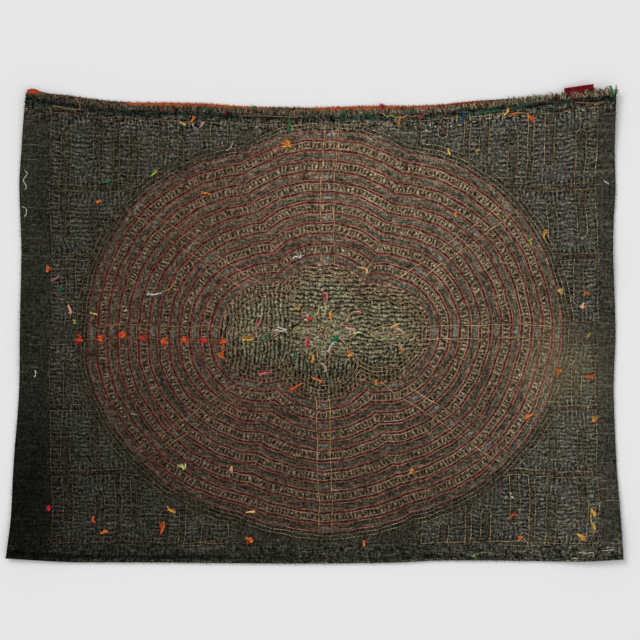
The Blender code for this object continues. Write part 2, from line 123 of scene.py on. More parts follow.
# How far the field is pulled up with the sagging top edge
PULLS_ACROSS = (-181.0, -140.0, -51.0, 58.0, 147.0, 188.0)
PULLS_UP = (7.5, 2.8, 0.0, 1.3, 5.6, 9.8)

# The hand's unevenness: sway, length and start of each stray
Stray = namedtuple("Stray", "sway length start")
STRAYS_ACROSS = [Stray(0.9, 143.0, 0.6), Stray(0.4, 61.0, 2.1), Stray(0.26, 21.0, 0.3)]
STRAYS_UP = [Stray(0.8, 127.0, 1.7), Stray(0.4, 53.0, 4.0), Stray(0.26, 18.0, 3.1)]

# The line of the front cloth's upper edge, in millimetres
FRONT_EDGE = [
    (-199.5, 153.5), (-196.8, 157.4), (-195.4, 159.3), (-192.0, 160.2), (-188.8, 159.6), (-186.8, 158.3),
    (-181.0, 157.0), (-167.0, 155.5), (-147.0, 152.7), (-133.0, 151.4), (-120.0, 150.9), (-99.0, 150.8),
    (-78.0, 150.2), (-64.0, 149.5), (-51.0, 148.2), (-30.0, 147.7), (-3.0, 147.2), (24.0, 148.1),
    (51.0, 148.7), (65.0, 148.5), (86.0, 149.4), (99.0, 150.9), (113.0, 152.4), (134.0, 153.6),
]

# The flat middle that the panel rests on, and where its edges lift
REST_HALF_WIDTH = 160.0
REST_HALF_HEIGHT = 115.0
EDGE_SLOPE = 0.014
Lift = namedtuple("Lift", "across up reach height")
LIFTS = [
    Lift(-198.0, 157.0, 55.0, 3.2),
    Lift(205.0, 158.0, 61.0, 4.6),
    Lift(-210.0, -160.0, 62.0, 2.2),
    Lift(210.0, -160.0, 66.0, 4.2),
    Lift(-203.0, -15.0, 40.0, 1.8),
    Lift(205.0, 42.0, 36.0, 2.2),
]

# How often the stitches come, how thick the scrap of tape is and how often its ribs come, in millimetres
PITCH = 2.6
TAPE_THICKNESS = 1.0
RIB_PITCH = 0.9

# Each cloth's grid: its cells across and up, and how many of them make one on its underside
Cells = namedtuple("Cells", "across up coarse")
BACK_CELLS = Cells(336, 264, 12)
FRONT_CELLS = Cells(252, 44, 4)
TAPE_CELLS = Cells(60, 20, 4)


def compass(angle):
    """One step off at an angle or at many, in radians from the X axis towards the Y axis."""
    return np.stack((np.cos(angle), np.sin(angle)), -1)


def wave(stray, at):
    """One sway of the hand at places along an axis."""
    return stray.sway * np.sin(math.tau * at / stray.length + stray.start)


def pull_up(across):
    """How far the field is pulled up at places across the panel, eased between the table's columns."""
    at = np.clip(across, PULLS_ACROSS[0], PULLS_ACROSS[-1])
    column = np.interp(at, PULLS_ACROSS, range(len(PULLS_ACROSS)))
    low = np.minimum(column.astype(int), len(PULLS_UP) - 2)
    share = column - low
    ups = np.array(PULLS_UP)
    return ups[low] + (ups[low + 1] - ups[low]) * share * share * (3 - 2 * share)


def astray(place):
    """How far the hand strays from places on the panel, in millimetres."""
    across = sum(wave(stray, place[..., 1]) for stray in STRAYS_ACROSS)
    share = np.maximum((place[..., 1] - MEDALLION[1]) / FIELD_HALF_HEIGHT, 0.0)
    up = sum(wave(stray, place[..., 0]) for stray in STRAYS_UP)
    up = up + pull_up(place[..., 0]) * share**2
    return np.stack((across, up), -1)


def sewn(plan):
    """Where a hand sews the plan's points, which are given from the medallion's middle."""
    place = np.asarray(plan, float) + MEDALLION
    return place + astray(place)


def planned(place):
    """The plan's point, from the medallion's middle, that the hand sewed at each place."""
    start = place
    for _ in range(4):
        start = place - astray(start)
    return start - MEDALLION


def lobes(plan):
    """Distances of plan points from the nearest side lobe's and the nearest upper lobe's middle."""
    side = np.hypot(np.abs(plan[..., 0]) - SIDE_LOBE, plan[..., 1])
    upper = np.hypot(plan[..., 0], np.abs(plan[..., 1]) - UPPER_LOBE)
    return side, upper


def lift(place):
    """How far the cloth stands off the floor at places on the panel, past its flat middle."""
    past_side = np.maximum(np.abs(place[..., 0]) - REST_HALF_WIDTH, 0)
    past_end = np.maximum(np.abs(place[..., 1]) - REST_HALF_HEIGHT, 0)
    height = EDGE_SLOPE * np.hypot(past_side, past_end)
    for spot in LIFTS:
        away = np.hypot(place[..., 0] - spot.across, place[..., 1] - spot.up)
        share = np.minimum(away / spot.reach, 1.0)
        height = height + spot.height * np.cos(math.pi / 2 * share) ** 2
    return height


def ring_line(radius):
    """One closed echo ring of the plan: the outer line of four circles of this radius."""
    span = math.hypot(SIDE_LOBE, UPPER_LOBE)
    along = math.sqrt(radius**2 - span**2 / 4)
    corner_x = SIDE_LOBE / 2 + along * UPPER_LOBE / span
    corner_y = UPPER_LOBE / 2 + along * SIDE_LOBE / span
    side = math.atan2(corner_y, corner_x - SIDE_LOBE)
    upper = math.atan2(corner_y - UPPER_LOBE, corner_x)
    arcs = [
        ((SIDE_LOBE, 0), -side, side),
        ((0, UPPER_LOBE), upper, math.pi - upper),
        ((-SIDE_LOBE, 0), math.pi - side, math.pi + side),
        ((0, -UPPER_LOBE), math.pi + upper, math.tau - upper),
    ]
    line = []
    for middle, start, end in arcs:
        angle = np.arange(start, end, PLAN_STEP / radius)
        line.append(np.array(middle) + radius * compass(angle))
    line = np.concatenate(line)
    return np.vstack((line, line[:1]))


def straight(points):
    """A line through points, with a point every step or so."""
    line = []
    for a, b in zip(points, points[1:]):
        a, b = np.array(a, float), np.array(b, float)
        count = max(1, round(np.linalg.norm(b - a) / PLAN_STEP))
        line += [a + (b - a) * n / count for n in range(count)]
    return np.array(line + [np.array(points[-1], float)])


def petal_reach(angle):
    """How far the flower's round petals reach from its eye, by their angle."""
    return PETAL_WAIST + (PETAL_LENGTH - PETAL_WAIST) * np.abs(np.cos(PETALS / 2 * angle)) ** 0.7


def flower_line():
    """The flower's outline."""
    angle = np.linspace(0, math.tau, 361)
    return petal_reach(angle)[:, None] * compass(angle)


def leaf_lines(side):
    """A pointed leaf with its midrib, in the left (-1) or the right (1) lobe."""
    along = np.linspace(-0.5, 0.5, 31)
    half = LEAF_WIDTH / 2 * np.cos(math.pi * along) ** 0.8
    upper = np.stack((side * LEAF_MIDDLE + along * LEAF_LENGTH, half), -1)
    lower = (upper * (1, -1))[::-1]
    midrib = np.stack((side * LEAF_MIDDLE + along[4:-4] * LEAF_LENGTH, 0 * along[4:-4]), -1)
    return [np.vstack((upper, lower)), midrib]


def way_out(place, target, radius):
    """Where the way from places in a side lobe's circle to a target outside it leaves the circle."""
    start = place - (SIDE_LOBE, 0)
    way = target - place
    half = (start * way).sum(-1)
    length = (way * way).sum(-1)
    root = np.sqrt(half**2 - length * ((start * start).sum(-1) - radius**2))
    return place + way * ((root - half) / length)[:, None]


def block_line(block):
    """A block's outline, cut back where the rings reach into it."""
    left, low, right, high, _ = block
    line = straight([(right, high), (left, high), (left, low), (right, low), (right, high)])
    inside = np.hypot(line[:, 0] - SIDE_LOBE, line[:, 1]) < BLOCK_RING
    line[inside] = way_out(line[inside], np.array((right, high)), BLOCK_RING)
    apart = np.linalg.norm(np.diff(line, axis=0), axis=1) > 0.2
    return line[np.concatenate(([True], apart))]


def slits(block):
    """A block's slits, by turns from its upper and its lower side: across, root and turn of each."""
    width = (block.right - block.left) / block.slits
    for number in range(block.slits):
        across = block.left + width * (number + 0.5)
        reach = max(BLOCK_RING**2 - (across - SLIT_HALF_WIDTH - SIDE_LOBE) ** 2, 0.0)
        floor = max(block.low, math.sqrt(reach))
        tall = block.high - floor
        if tall > SLIT_LEAST:
            root, way = (block.high, -1) if number % 2 == 0 else (floor, 1)
            yield across, root, root + way * (SLIT_SHARE * tall - SLIT_HALF_WIDTH)


def slit_line(across, root, turn):
    """The line of stitches down one side of a slit, round its end and back."""
    way = math.copysign(1.0, turn - root)
    angle = np.linspace(math.pi, 0, 9)
    bow = compass(angle) * (1.0, way) * SLIT_HALF_WIDTH + (across, turn)
    start, end = (bow[0][0], root), (bow[-1][0], root)
    return np.vstack((straight([start, bow[0]])[:-1], bow, straight([bow[-1], end])[1:]))


def block_lines():
    """Every line of the blocks in all four quarters: their outlines and their slits."""
    lines = []
    for block in BLOCKS:
        lines.append(block_line(block))
        lines += [slit_line(*slit) for slit in slits(block)]
    return [line * quarter for quarter in QUARTERS for line in lines]


def pale_parts(plan):
    """Where the cloth stands up pale: 1 in petals, leaves and blocks outside their slits, 0 between."""
    x, y = np.abs(plan[..., 0]), np.abs(plan[..., 1])
    inside = petal_reach(np.arctan2(y, x)) - np.hypot(x, y)
    along = np.clip((x - LEAF_MIDDLE) / LEAF_LENGTH, -0.5, 0.5)
    inside = np.maximum(inside, LEAF_WIDTH / 2 * np.cos(math.pi * along) ** 0.8 - y - 0.2)
    inside = np.where(np.minimum(*lobes(plan)) < FIRST_SEAM, inside, -FAR_OFF)
    off_ring = np.hypot(x - SIDE_LOBE, y) - BLOCK_RING
    for block in BLOCKS:
        depth = np.minimum.reduce([x - block.left, block.right - x, y - block.low, block.high - y, off_ring])
        for across, root, turn in slits(block):
            beside = np.hypot(x - across, y - np.clip(y, *sorted((root, turn)))) - SLIT_HALF_WIDTH
            depth = np.minimum(depth, beside)
        inside = np.maximum(inside, depth)
    return np.clip(inside / PALE_EDGE + 0.3, 0, 1)


def spoke_lines():
    """Pairs of lines that cross the rings from the first seam to the last."""
    lines = []
    for angle in SPOKES:
        out = compass(math.radians(angle))
        beside = np.array((-out[1], out[0])) * SPOKE_GAP / 2
        for side in (-1, 1):
            ray = straight([side * beside, side * beside + out * RAY_LENGTH])
            radius = np.minimum(*lobes(ray))
            lines.append(ray[(radius > FIRST_SEAM) & (radius < LAST_SEAM)])
    return lines


def off_spoke(plan):
    """How far plan points lie beside the nearest spoke."""
    nearest = np.full(plan.shape[:-1], FAR_OFF)
    for angle in SPOKES:
        out = compass(math.radians(angle))
        beside = np.abs(plan[..., 1] * out[0] - plan[..., 0] * out[1])
        nearest = np.where(plan @ out > 0, np.minimum(nearest, beside), nearest)
    return nearest


def relief(plan):
    """How far the quilting stands over its seams at plan points, in millimetres."""
    radius = np.minimum(*lobes(plan))
    turn = radius - FIRST_SEAM
    local = turn - np.floor(turn / REPEAT) * REPEAT
    channel = CHANNEL_RISE * np.sin(math.pi * np.clip(local / CHANNEL_WIDTH, 0, 1))
    share = np.clip((local - CHANNEL_WIDTH) / BAND_WIDTH, 0, 1)
    band = BAND_RISE * np.sin(math.pi * share) ** 0.5
    rings = np.where(local < CHANNEL_WIDTH, channel, band)
    return np.where((radius > FIRST_SEAM) & (radius < LAST_SEAM), rings, 0.0)


def search_tree(places):
    """A search tree over places on the panel."""
    tree = KDTree(len(places))
    for number, (x, y) in enumerate(places.tolist()):
        tree.insert((x, y, 0.0), number)
    tree.balance()
    return tree


# The sewing plan: every line, as points from the medallion's middle
RED_SEAMS = []
TAN_RINGS = []
for channel in range(CHANNELS):
    seam = FIRST_SEAM + channel * REPEAT
    RED_SEAMS += [ring_line(seam), ring_line(seam + CHANNEL_WIDTH)]
    if channel < CHANNELS - 1:
        middle = seam + CHANNEL_WIDTH + BAND_WIDTH / 2
        TAN_RINGS += [ring_line(middle + row) for row in BAND_ROWS]
ECHO_RINGS = [ring_line(radius) for radius in CENTRE_RINGS + OUTER_RINGS]
CENTRE_LINES = [flower_line(), FLOWER_EYE / PETAL_LENGTH * flower_line()]
CENTRE_LINES += leaf_lines(-1) + leaf_lines(1)
BLOCK_LINES = block_lines()
BLOCK_ROWS = BLOCK_LINES + ECHO_RINGS
SPOKE_ROWS = spoke_lines() + CENTRE_LINES


class Field:
    """A socket of a node tree that takes part in sums, as a number does."""

    def __init__(self, nodes, socket):
        self.nodes = nodes
        self.socket = socket

    def __add__(self, other):
        return self.nodes.maths("ADD", self, other)

    def __sub__(self, other):
        return self.nodes.maths("SUBTRACT", self, other)

    def __mul__(self, other):
        return self.nodes.maths("MULTIPLY", self, other)

    def __truediv__(self, other):
        return self.nodes.maths("DIVIDE", self, other)

    def __pow__(self, other):
        return self.nodes.maths("POWER", self, other)

    def __rsub__(self, other):
        return self.nodes.maths("SUBTRACT", other, self)

    def __neg__(self):
        return self.nodes.maths("MULTIPLY", self, -1.0)

    def __abs__(self):
        return self.nodes.maths("ABSOLUTE", self)

    __radd__ = __add__
    __rmul__ = __mul__


class Nodes:
    """A node tree, and the one way that nodes are added to it."""

    def __init__(self, tree):
        self.tree = tree

    def node(self, kind, settings=None, values=None, output=0):
        """Add a node, set it up, feed its sockets and return one of its outputs."""
        made = self.tree.nodes.new(kind)
        for name, value in (settings or {}).items():
            if name == "stops":
                self.set_stops(made.color_ramp, value)
            else:
                setattr(made, name, value)
        if not isinstance(values, dict):
            values = dict(enumerate(values or []))
        for name, value in values.items():
            if isinstance(value, Field):
                self.tree.links.new(value.socket, made.inputs[name])
            elif value is not None:
                made.inputs[name].default_value = value
        return Field(self, made.outputs[output])

    @staticmethod
    def set_stops(ramp, stops):
        """Give a ramp its stops, each a place and a colour."""
        while len(ramp.elements) < len(stops):
            ramp.elements.new(0.5)
        for element, (place, colour) in zip(ramp.elements, stops):
            element.position = place
            element.color = colour

    def maths(self, operation, *values):
        """One sum on values."""
        return self.node("ShaderNodeMath", {"operation": operation}, values)

    def vector(self, operation, *values):
        """One sum on vectors."""
        return self.node("ShaderNodeVectorMath", {"operation": operation}, values)

    def scaled(self, value, factor):
        """A vector, or a colour made lighter or darker, times a factor."""
        return self.node("ShaderNodeVectorMath", {"operation": "SCALE"}, {0: value, "Scale": factor})

    def split(self, value, axis):
        """A vector's measure along one axis."""
        return self.node("ShaderNodeSeparateXYZ", {}, [value], output=axis)

    def fade(self, value, low, high):
        """0 below low, 1 above high, and soft between; low may be the larger."""
        settings = {"interpolation_type": "SMOOTHSTEP", "clamp": True}
        return self.node("ShaderNodeMapRange", settings, {0: value, 1: low, 2: high})

    def bell(self, value, width):
        """1 where the value is 0, falling to nothing some widths away."""
        share = value / width
        return self.maths("EXPONENT", -(share * share))

    def tint(self, share, colour, other):
        """A colour that turns to another one by a share."""
        settings = {"data_type": "RGBA", "clamp_factor": True}
        return self.node("ShaderNodeMix", settings, {0: share, 6: colour, 7: other}, output=2)


class Dye(Nodes):
    """A cotton finish: a material of its own, and the nodes that colour it."""

    def __init__(self, name, roughness=0.9):
        self.material = bpy.data.materials.new(name)
        self.material.use_nodes = True
        super().__init__(self.material.node_tree)
        self.shader = self.tree.nodes["Principled BSDF"]
        self.shader.inputs["Roughness"].default_value = roughness
        self.shader.inputs["Specular IOR Level"].default_value = GLOSS
        self.place = self.node("ShaderNodeTexCoord", output="Object")
        self.across, self.up = self.in_mm(self.place)

    def in_mm(self, place):
        """A place's two measures on the panel, in millimetres."""
        return [self.split(place, axis) * PER_METRE for axis in (0, 1)]

    def cloud(self, size, detail=2.0, roughness=0.5, stretch=(1, 1, 1), place=None):
        """Soft noise from 0 to 1 with lumps of a size in millimetres."""
        spread = self.vector("MULTIPLY", place or self.place, tuple(PER_METRE / size * s for s in stretch))
        settings = {"noise_dimensions": "3D", "normalize": True}
        values = {"Vector": spread, "Scale": 1.0, "Detail": detail, "Roughness": roughness}
        return self.node("ShaderNodeTexNoise", settings, values)

    def named(self, title, output="Fac"):
        """One of the mesh's own values."""
        return self.node("ShaderNodeAttribute", {"attribute_name": title}, output=output)

    def weave(self, pitch, sway):
        """A plain weave that is not quite even, from -1 to 1."""
        across, up = [self.maths("SINE", at * (math.tau / pitch) + sway) for at in (self.across, self.up)]
        return across * up

    def finish(self, colour, height=None):
        """Feed the shader its colour, and a height in millimetres as bump."""
        self.tree.links.new(colour.socket, self.shader.inputs["Base Color"])
        if height is not None:
            values = {"Strength": 1.0, "Distance": MM, "Height": height}
            normal = self.node("ShaderNodeBump", {}, values)
            self.tree.links.new(normal.socket, self.shader.inputs["Normal"])
        return self.material


def rgb(red, green, blue):
    """A colour as a screen shows it, 0 to 255, made linear and opaque."""
    linear = []
    for value in (red, green, blue):
        share = value / 255
        linear.append(share / 12.92 if share <= 0.04045 else ((share + 0.055) / 1.055) ** 2.4)
    return (*linear, 1.0)


def fading(dye):
    """How pale the old cotton is by its place: darkest low at the left, palest above the middle."""
    x, y, fade = dye.across, dye.up, dye.fade
    low_left = fade(x, -150.0, -196.0) * fade(y, -10.0, -130.0)
    light = 0.5 + fade(x, -186.0, -165.0) * 0.12 + fade(x, -190.0, 50.0) * 0.39
    low = fade(y, 30.0, -140.0) * (0.36 - fade(x, 60.0, 170.0) * 0.25)
    light = light * (1.0 - low) * (1.0 - low_left * 0.55) * (1.0 - fade(x, 186.0, 198.0) * 0.14)
    return light * (0.82 + dye.bell(x - 30.0, 110.0) * fade(y, -40.0, 110.0) * 0.26)


def back_cotton():
    """Washed, faded dark cotton: plain channels, ladder bands, puckered blocks and plain margins, with
    painted shade in its creases, pits, folds and under the fringe, and painted light and shade on its
    puckers.
    """
    dye = Dye("quilted_back_finish", roughness=0.95)
    x, y, fade, bell, cloud, tint = dye.across, dye.up, dye.fade, dye.bell, dye.cloud, dye.tint
    across, up = dye.in_mm(dye.node("ShaderNodeUVMap", {"uv_map": "plan"}))
    wide = abs(across)
    side_reach = wide - SIDE_LOBE
    upper_reach = abs(up) - UPPER_LOBE
    side = dye.maths("SQRT", side_reach * side_reach + up * up)
    upper = dye.maths("SQRT", across * across + upper_reach * upper_reach)
    radius = dye.maths("MINIMUM", side, upper)
    side_angle = dye.maths("ARCTAN2", up, side_reach)
    upper_angle = dye.maths("ARCTAN2", upper_reach, wide)
    angle = upper_angle + (side_angle - upper_angle) * dye.maths("LESS_THAN", side, upper)

    number = dye.maths("FLOOR", (radius - FIRST_SEAM) / REPEAT)
    local = radius - FIRST_SEAM - number * REPEAT
    rings = fade(radius, FIRST_SEAM - 0.4, FIRST_SEAM) * fade(radius, LAST_SEAM + 0.4, LAST_SEAM)
    band = fade(local, CHANNEL_WIDTH - 0.2, CHANNEL_WIDTH + 0.3) * rings
    middle_radius = number * REPEAT + (FIRST_SEAM + CHANNEL_WIDTH + BAND_WIDTH / 2)
    run_length = angle * middle_radius
    lane = dye.node("ShaderNodeCombineXYZ", {}, [radius, run_length, number * 37.0])
    lane = dye.vector("MULTIPLY", lane, (MM, MM, MM))

    wobble = cloud(6.0, 2.0)
    uneven = cloud(3.0, 2.0, 0.65)
    fleck = cloud(1.6, 2.0, 0.75)
    warp_threads = fade(cloud(0.95, 1.0, 0.7, stretch=(1, 0.22, 1)), 0.34, 0.66)
    weft_threads = fade(cloud(0.95, 1.0, 0.7, stretch=(0.22, 1, 1)), 0.34, 0.66)
    grain = (warp_threads + weft_threads) * 0.5
    flecks = fade(fleck, 0.3, 0.7)
    across_band = local - (CHANNEL_WIDTH + BAND_WIDTH / 2) + (uneven - 0.5) * 1.3
    beat = run_length / PITCH + wobble * 2.4 + number * 0.37

    def ticks(shift):
        """The beat of the stitches along a band, from 0 to 1."""
        return dye.maths("COSINE", (beat + shift) * math.tau) * 0.5 + 0.5

    off_middle = abs(across_band)
    rung_lane = fade(off_middle, 2.0, 1.2) * band
    rungs = rung_lane * fade(ticks(0.0), 0.3, 0.8) * (0.12 + fade(fleck, 0.34, 0.62) * 0.88)
    # Painted shade: dark pits between the rungs along each band
    gaps = rung_lane * fade(ticks(0.5), 0.35, 0.85) * (0.3 + fade(fleck, 0.68, 0.42) * 0.7)
    # Painted shade: a dark maroon strip beside each seam on the band side, with darker pits in it
    strip = bell(off_middle - 3.15, 0.75) * band
    strip_pits = strip * ticks(0.35) * fade(fleck, 0.7, 0.4)
    streaks = cloud(1.4, 3.0, 0.7, stretch=(1, 0.16, 1), place=lane)
    wrinkles = cloud(1.7, 2.0, 0.6, stretch=(0.35, 1, 1), place=lane)

    to_seam = dye.maths("MINIMUM", abs(local - CHANNEL_WIDTH), local)
    to_seam = dye.maths("MINIMUM", to_seam, REPEAT - local)
    # Painted shade: dark maroon in the crease along each seam
    crease = bell(to_seam, 0.9) * rings
    spoke = dye.named("spoke")
    window = fade(spoke, SPOKE_GAP / 2 - 0.3, SPOKE_GAP / 2 - 1.4) * rings * (1.0 - band)
    window = window * bell(local - CHANNEL_WIDTH / 2, 1.9) * fade(uneven, 0.3, 0.62)
    # Painted shade along the spokes' lines
    spoke_crease = bell(spoke - SPOKE_GAP / 2, 0.8) * rings

    run = dye.named("run")
    near = dye.named("near_seam")
    warp = cloud(14.0, 2.0) * 2.2 + uneven * 1.3
    level = dye.maths("SINE", (up / 2.8 + warp) * math.tau) * 0.5 + 0.5
    upright = dye.maths("SINE", (across / 2.8 + warp) * math.tau) * 0.5 + 0.5
    centre = fade(radius, FIRST_SEAM + 0.4, FIRST_SEAM - 0.4)
    drift = cloud(16.0, 2.0) * 34.0 - 17.0
    upright_middle = fade(across + drift, -12.0, -34.0) + fade(up + drift, -10.0, -26.0)
    turned = run + (dye.maths("MINIMUM", upright_middle, 1.0) - run) * centre
    ripple = level + (upright - level) * turned
    mesh_of_threads = level * upright
    ripple = ripple + (mesh_of_threads * 1.4 - ripple) * centre * fade(wobble, 0.4, 0.7) * 0.6
    in_field = fade(wide, FIELD_HALF_WIDTH + 1.0, FIELD_HALF_WIDTH)
    in_field = in_field * fade(abs(up), FIELD_HALF_HEIGHT + 1.0, FIELD_HALF_HEIGHT)
    off_rings = in_field * (1.0 - rings)
    puckers = off_rings * fade(near, 11.0, 5.0)
    pale = dye.named("pale")
    # The ripples also paint light and shade into the colour: lit crests and shaded hollows of the puckered
    # cloth
    ripples = (ripple - 0.5) * puckers * fade(uneven, 0.2, 0.7) * (0.48 + pale * 0.58)
    # Painted shade: dark pits just beside the blocks' lines
    hem = bell(near - 1.4, 0.8) * puckers * fade(fleck, 0.62, 0.42)
    groove = fade(pale, 0.75, 0.1) * off_rings * (1.0 - centre)
    hem_pits = hem * fade(ripple, 0.5, 0.15)
    # Painted shade along the blocks' tan lines
    tan_crease = bell(near, 0.9) * off_rings

    slub_across = cloud(0.9, 1.0, stretch=(0.03, 1, 1))
    slub_up = cloud(0.9, 1.0, stretch=(1, 0.03, 1))
    slubs = fade(slub_across, 0.52, 0.8) + fade(slub_up, 0.58, 0.85) * 0.6
    weave = dye.weave(0.52, wobble * 9.0)

    wash = cloud(70.0, 3.0, 0.6)
    blotch = cloud(20.0, 3.0, 0.65)
    sun = bell(x - 166.0, 26.0) * bell(y + 30.0, 24.0)
    from_top = dye.named("from_top")
    from_low = dye.named("from_low")
    upper_strip = fade(from_top, 17.0, 11.0)
    low_strip = fade(from_low, 15.0, 10.0)
    left_end = fade(y, 60.0, 100.0) * 0.17 - fade(y, 45.0, 10.0) * 0.14
    # Painted shade: a darker band along the fold just above the bottom edge
    low_fold_shade = bell(from_low - 3.4 + x * 0.006, 1.9) * (0.7 + blotch * 0.6)
    low_rim = bell(from_low - 0.9, 0.8) * fade(fleck, 0.35, 0.6)
    lights = [
        0.72 + wash * 0.5 + blotch * 0.5 + sun * 0.6,
        0.3 + flecks * 1.26,
        0.4 + grain * 1.2,
        1.0 - centre * fade(up, -4.0, -26.0) * 0.35,
        1.0 + upper_strip * ((fleck - 0.5) * 2.8 + (grain - 0.5) * 2.0),
        1.0 + fade(x, 110.0, 150.0) * fade(y, -25.0, -50.0) * 0.17,
        1.0 + left_end * fade(x, -176.0, -190.0),
        1.0 + low_strip * ((fleck - 0.5) * 1.8 + (grain - 0.5) * 1.4),
        # painted shade of the fold above the bottom edge
        1.0 - low_fold_shade * (0.66 - fade(x, -110.0, 0.0) * 0.26),
        1.0 + puckers * ((uneven - 0.5) * 1.0 + (fleck - 0.5) * 0.6),
        1.0 + low_rim * (0.5 + fade(x, -110.0, 0.0) * 0.5),
    ]

    echoes = centre * fade(radius, CENTRE_RINGS[-1] - 1.5, CENTRE_RINGS[-1])
    # Painted light and shade: the centre's folds, lit on their crests and dark in their hollows
    folds = fade(ripple + (uneven - 0.5) * 1.6 + (fleck - 0.5) * 0.8, 0.0, 1.0)
    # Painted shade: darker down the middle of each channel, as in a trough
    trough_shade = bell(local - CHANNEL_WIDTH / 2, 1.3) * rings * (1.0 - band)
    # Painted shade: a dark maroon fold beside each seam on the band side
    fold = bell(off_middle - (BAND_WIDTH / 2 - 0.85), 0.5) * rings * (0.15 + ticks(0.6) * 0.85)
    shadow = bell(local - 1.0, 0.8) * rings * fade(wrinkles, 0.35, 0.6)
    # Painted shadow: a dark zone on the cloth just under the frayed fringe
    fringe_shadow = bell(from_top - 4.6, 2.2)
    haze = fade(blotch, 0.35, 0.7) * rings * fade(x, 120.0, -60.0)
    centre_colour = tint(folds, rgb(38, 39, 29), rgb(134, 126, 99))
    colour = tint(blotch, rgb(50, 51, 44), rgb(68, 66, 56))
    layers = [
        # painted light and shade on the blocks' puckers
        (puckers, tint(ripples * 1.2 + 0.5, rgb(33, 32, 27), rgb(98, 97, 86))),
        (groove * 0.5, rgb(56, 50, 36)),
        (centre, tint(pale * 0.35, centre_colour, rgb(156, 150, 118))),
        (echoes * fade(ripple, 0.0, 0.7) * 0.5, rgb(150, 118, 92)),
        (rings, tint(fade(streaks, 0.32, 0.68), rgb(52, 53, 42), rgb(132, 123, 101))),
        # painted shade down the channels' middles
        (trough_shade * 0.45, rgb(34, 37, 28)),
        (window * 0.55, rgb(140, 142, 128)),
        (band, tint(fade(wrinkles, 0.3, 0.7), rgb(66, 53, 40), rgb(123, 104, 81))),
        (rungs * 0.9, rgb(148, 135, 111)),
        # painted shade in the pits between the rungs
        (gaps * 0.76, rgb(32, 27, 16)),
        # painted shade: the maroon strip beside the seams, and its pits
        (strip * 0.5, rgb(88, 61, 47)),
        (strip_pits, rgb(34, 16, 9)),
        # painted shade in the creases along the seams
        (crease * 0.4, rgb(96, 40, 36)),
        # painted shade of the folds beside the seams
        (fold * 0.8, rgb(52, 18, 17)),
        (shadow * (0.5 + fade(up, 0.0, -60.0) * 0.4), rgb(18, 20, 15)),
        # painted shade along the spokes
        (spoke_crease * 0.5, rgb(44, 34, 24)),
        # painted shade along the blocks' lines
        (tan_crease * 0.6, rgb(32, 28, 21)),
        # painted shade in the pits beside the blocks' lines
        (hem_pits * 0.8, rgb(24, 20, 16)),
        (slubs * 0.36, rgb(132, 126, 104)),
        # painted shadow under the fringe
        (fringe_shadow * (0.45 + flecks * 0.5), rgb(14, 20, 16)),
        (haze * 0.3, rgb(98, 54, 46)),
    ]
    for share, layer in layers:
        colour = tint(share, colour, layer)
    colour = dye.scaled(colour, math.prod(lights, start=fading(dye)))
    colour = tint(sun * 0.3, colour, rgb(126, 112, 78))

    height = rungs * 0.3 - gaps * 0.5 - strip * 0.2 - strip_pits * 0.4 - crease * 0.3 - hem_pits * 0.5
    height = height + ripples * 0.6 + pale * 0.3 - tan_crease * 0.3 + window * 0.4 - spoke_crease * 0.3
    height = height + weave * 0.03 + slubs * 0.1 + fleck * 0.6 + grain * 0.22 + (streaks + wrinkles) * 0.25
    return dye.finish(colour, height)


def thread_cotton(name, colour, faded, deep):
    """Sewing cotton of one colour, worn paler in places and deeper towards the panel's left."""
    dye = Dye(name, roughness=0.8)
    wear = dye.fade(dye.cloud(26.0, 3.0, 0.6), 0.35, 0.65)
    twist = dye.cloud(0.7, 1.0)
    colour = dye.tint(wear, colour, faded)
    left = dye.fade(dye.across, 60.0, -150.0)
    colour = dye.tint(left * 0.8, colour, deep)
    sunk = dye.fade(dye.cloud(6.0, 3.0, 0.7), 0.52, 0.38)
    worn = (0.1 + dye.named("shade") * 0.9 + twist * 0.6 + wear * 0.25) * (1.0 - sunk * 0.45)
    return dye.finish(dye.scaled(colour, worn * (0.4 + fading(dye) * 0.66)), twist * 0.15)


def ends_cotton():
    """Bright sewing cotton, coloured by each strand's own attribute."""
    dye = Dye("thread_ends_finish", roughness=0.75)
    twist = dye.cloud(0.8, 1.0)
    return dye.finish(dye.scaled(dye.named("tint", "Color"), 0.5 + twist * 0.85), twist * 0.15)


def front_cotton():
    """The picture side's cloth: orange at the left, red towards the right, in a plain weave."""
    dye = Dye("front_cloth_finish", roughness=0.9)
    x, fade = dye.across, dye.fade
    slub = dye.cloud(0.8, 1.0, stretch=(0.05, 1, 1))
    wash = dye.cloud(14.0, 3.0)
    mottle = fade(dye.cloud(2.4, 3.0, 0.7), 0.4, 0.6)
    colour = dye.tint(fade(x, 66.0, 90.0), rgb(204, 100, 50), rgb(164, 48, 36))
    colour = dye.tint(wash * 0.4, colour, rgb(150, 62, 38))
    colour = dye.tint(fade(slub, 0.5, 0.8) * 0.4, colour, rgb(222, 146, 98))
    colour = dye.tint(mottle * (0.25 + fade(x, -110.0, -40.0) * 0.55), colour, rgb(116, 84, 52))
    shown = fade(x, -132.0, -124.0) * fade(x, -28.0, -36.0)
    shown = shown + fade(x, -12.0, 4.0) * fade(x, 126.0, 112.0)
    shown = shown + fade(x, -197.5, -195.5) * fade(x, -186.0, -188.0)
    colour = dye.tint(fade(x, -150.0, -180.0) * 0.8, colour, rgb(168, 58, 30))
    khaki = dye.tint(mottle, rgb(48, 43, 33), rgb(118, 96, 72))
    colour = dye.tint(0.95 - shown, colour, khaki)
    return dye.finish(colour, dye.weave(0.55, wash * 6.0) * 0.05 + slub * 0.08)


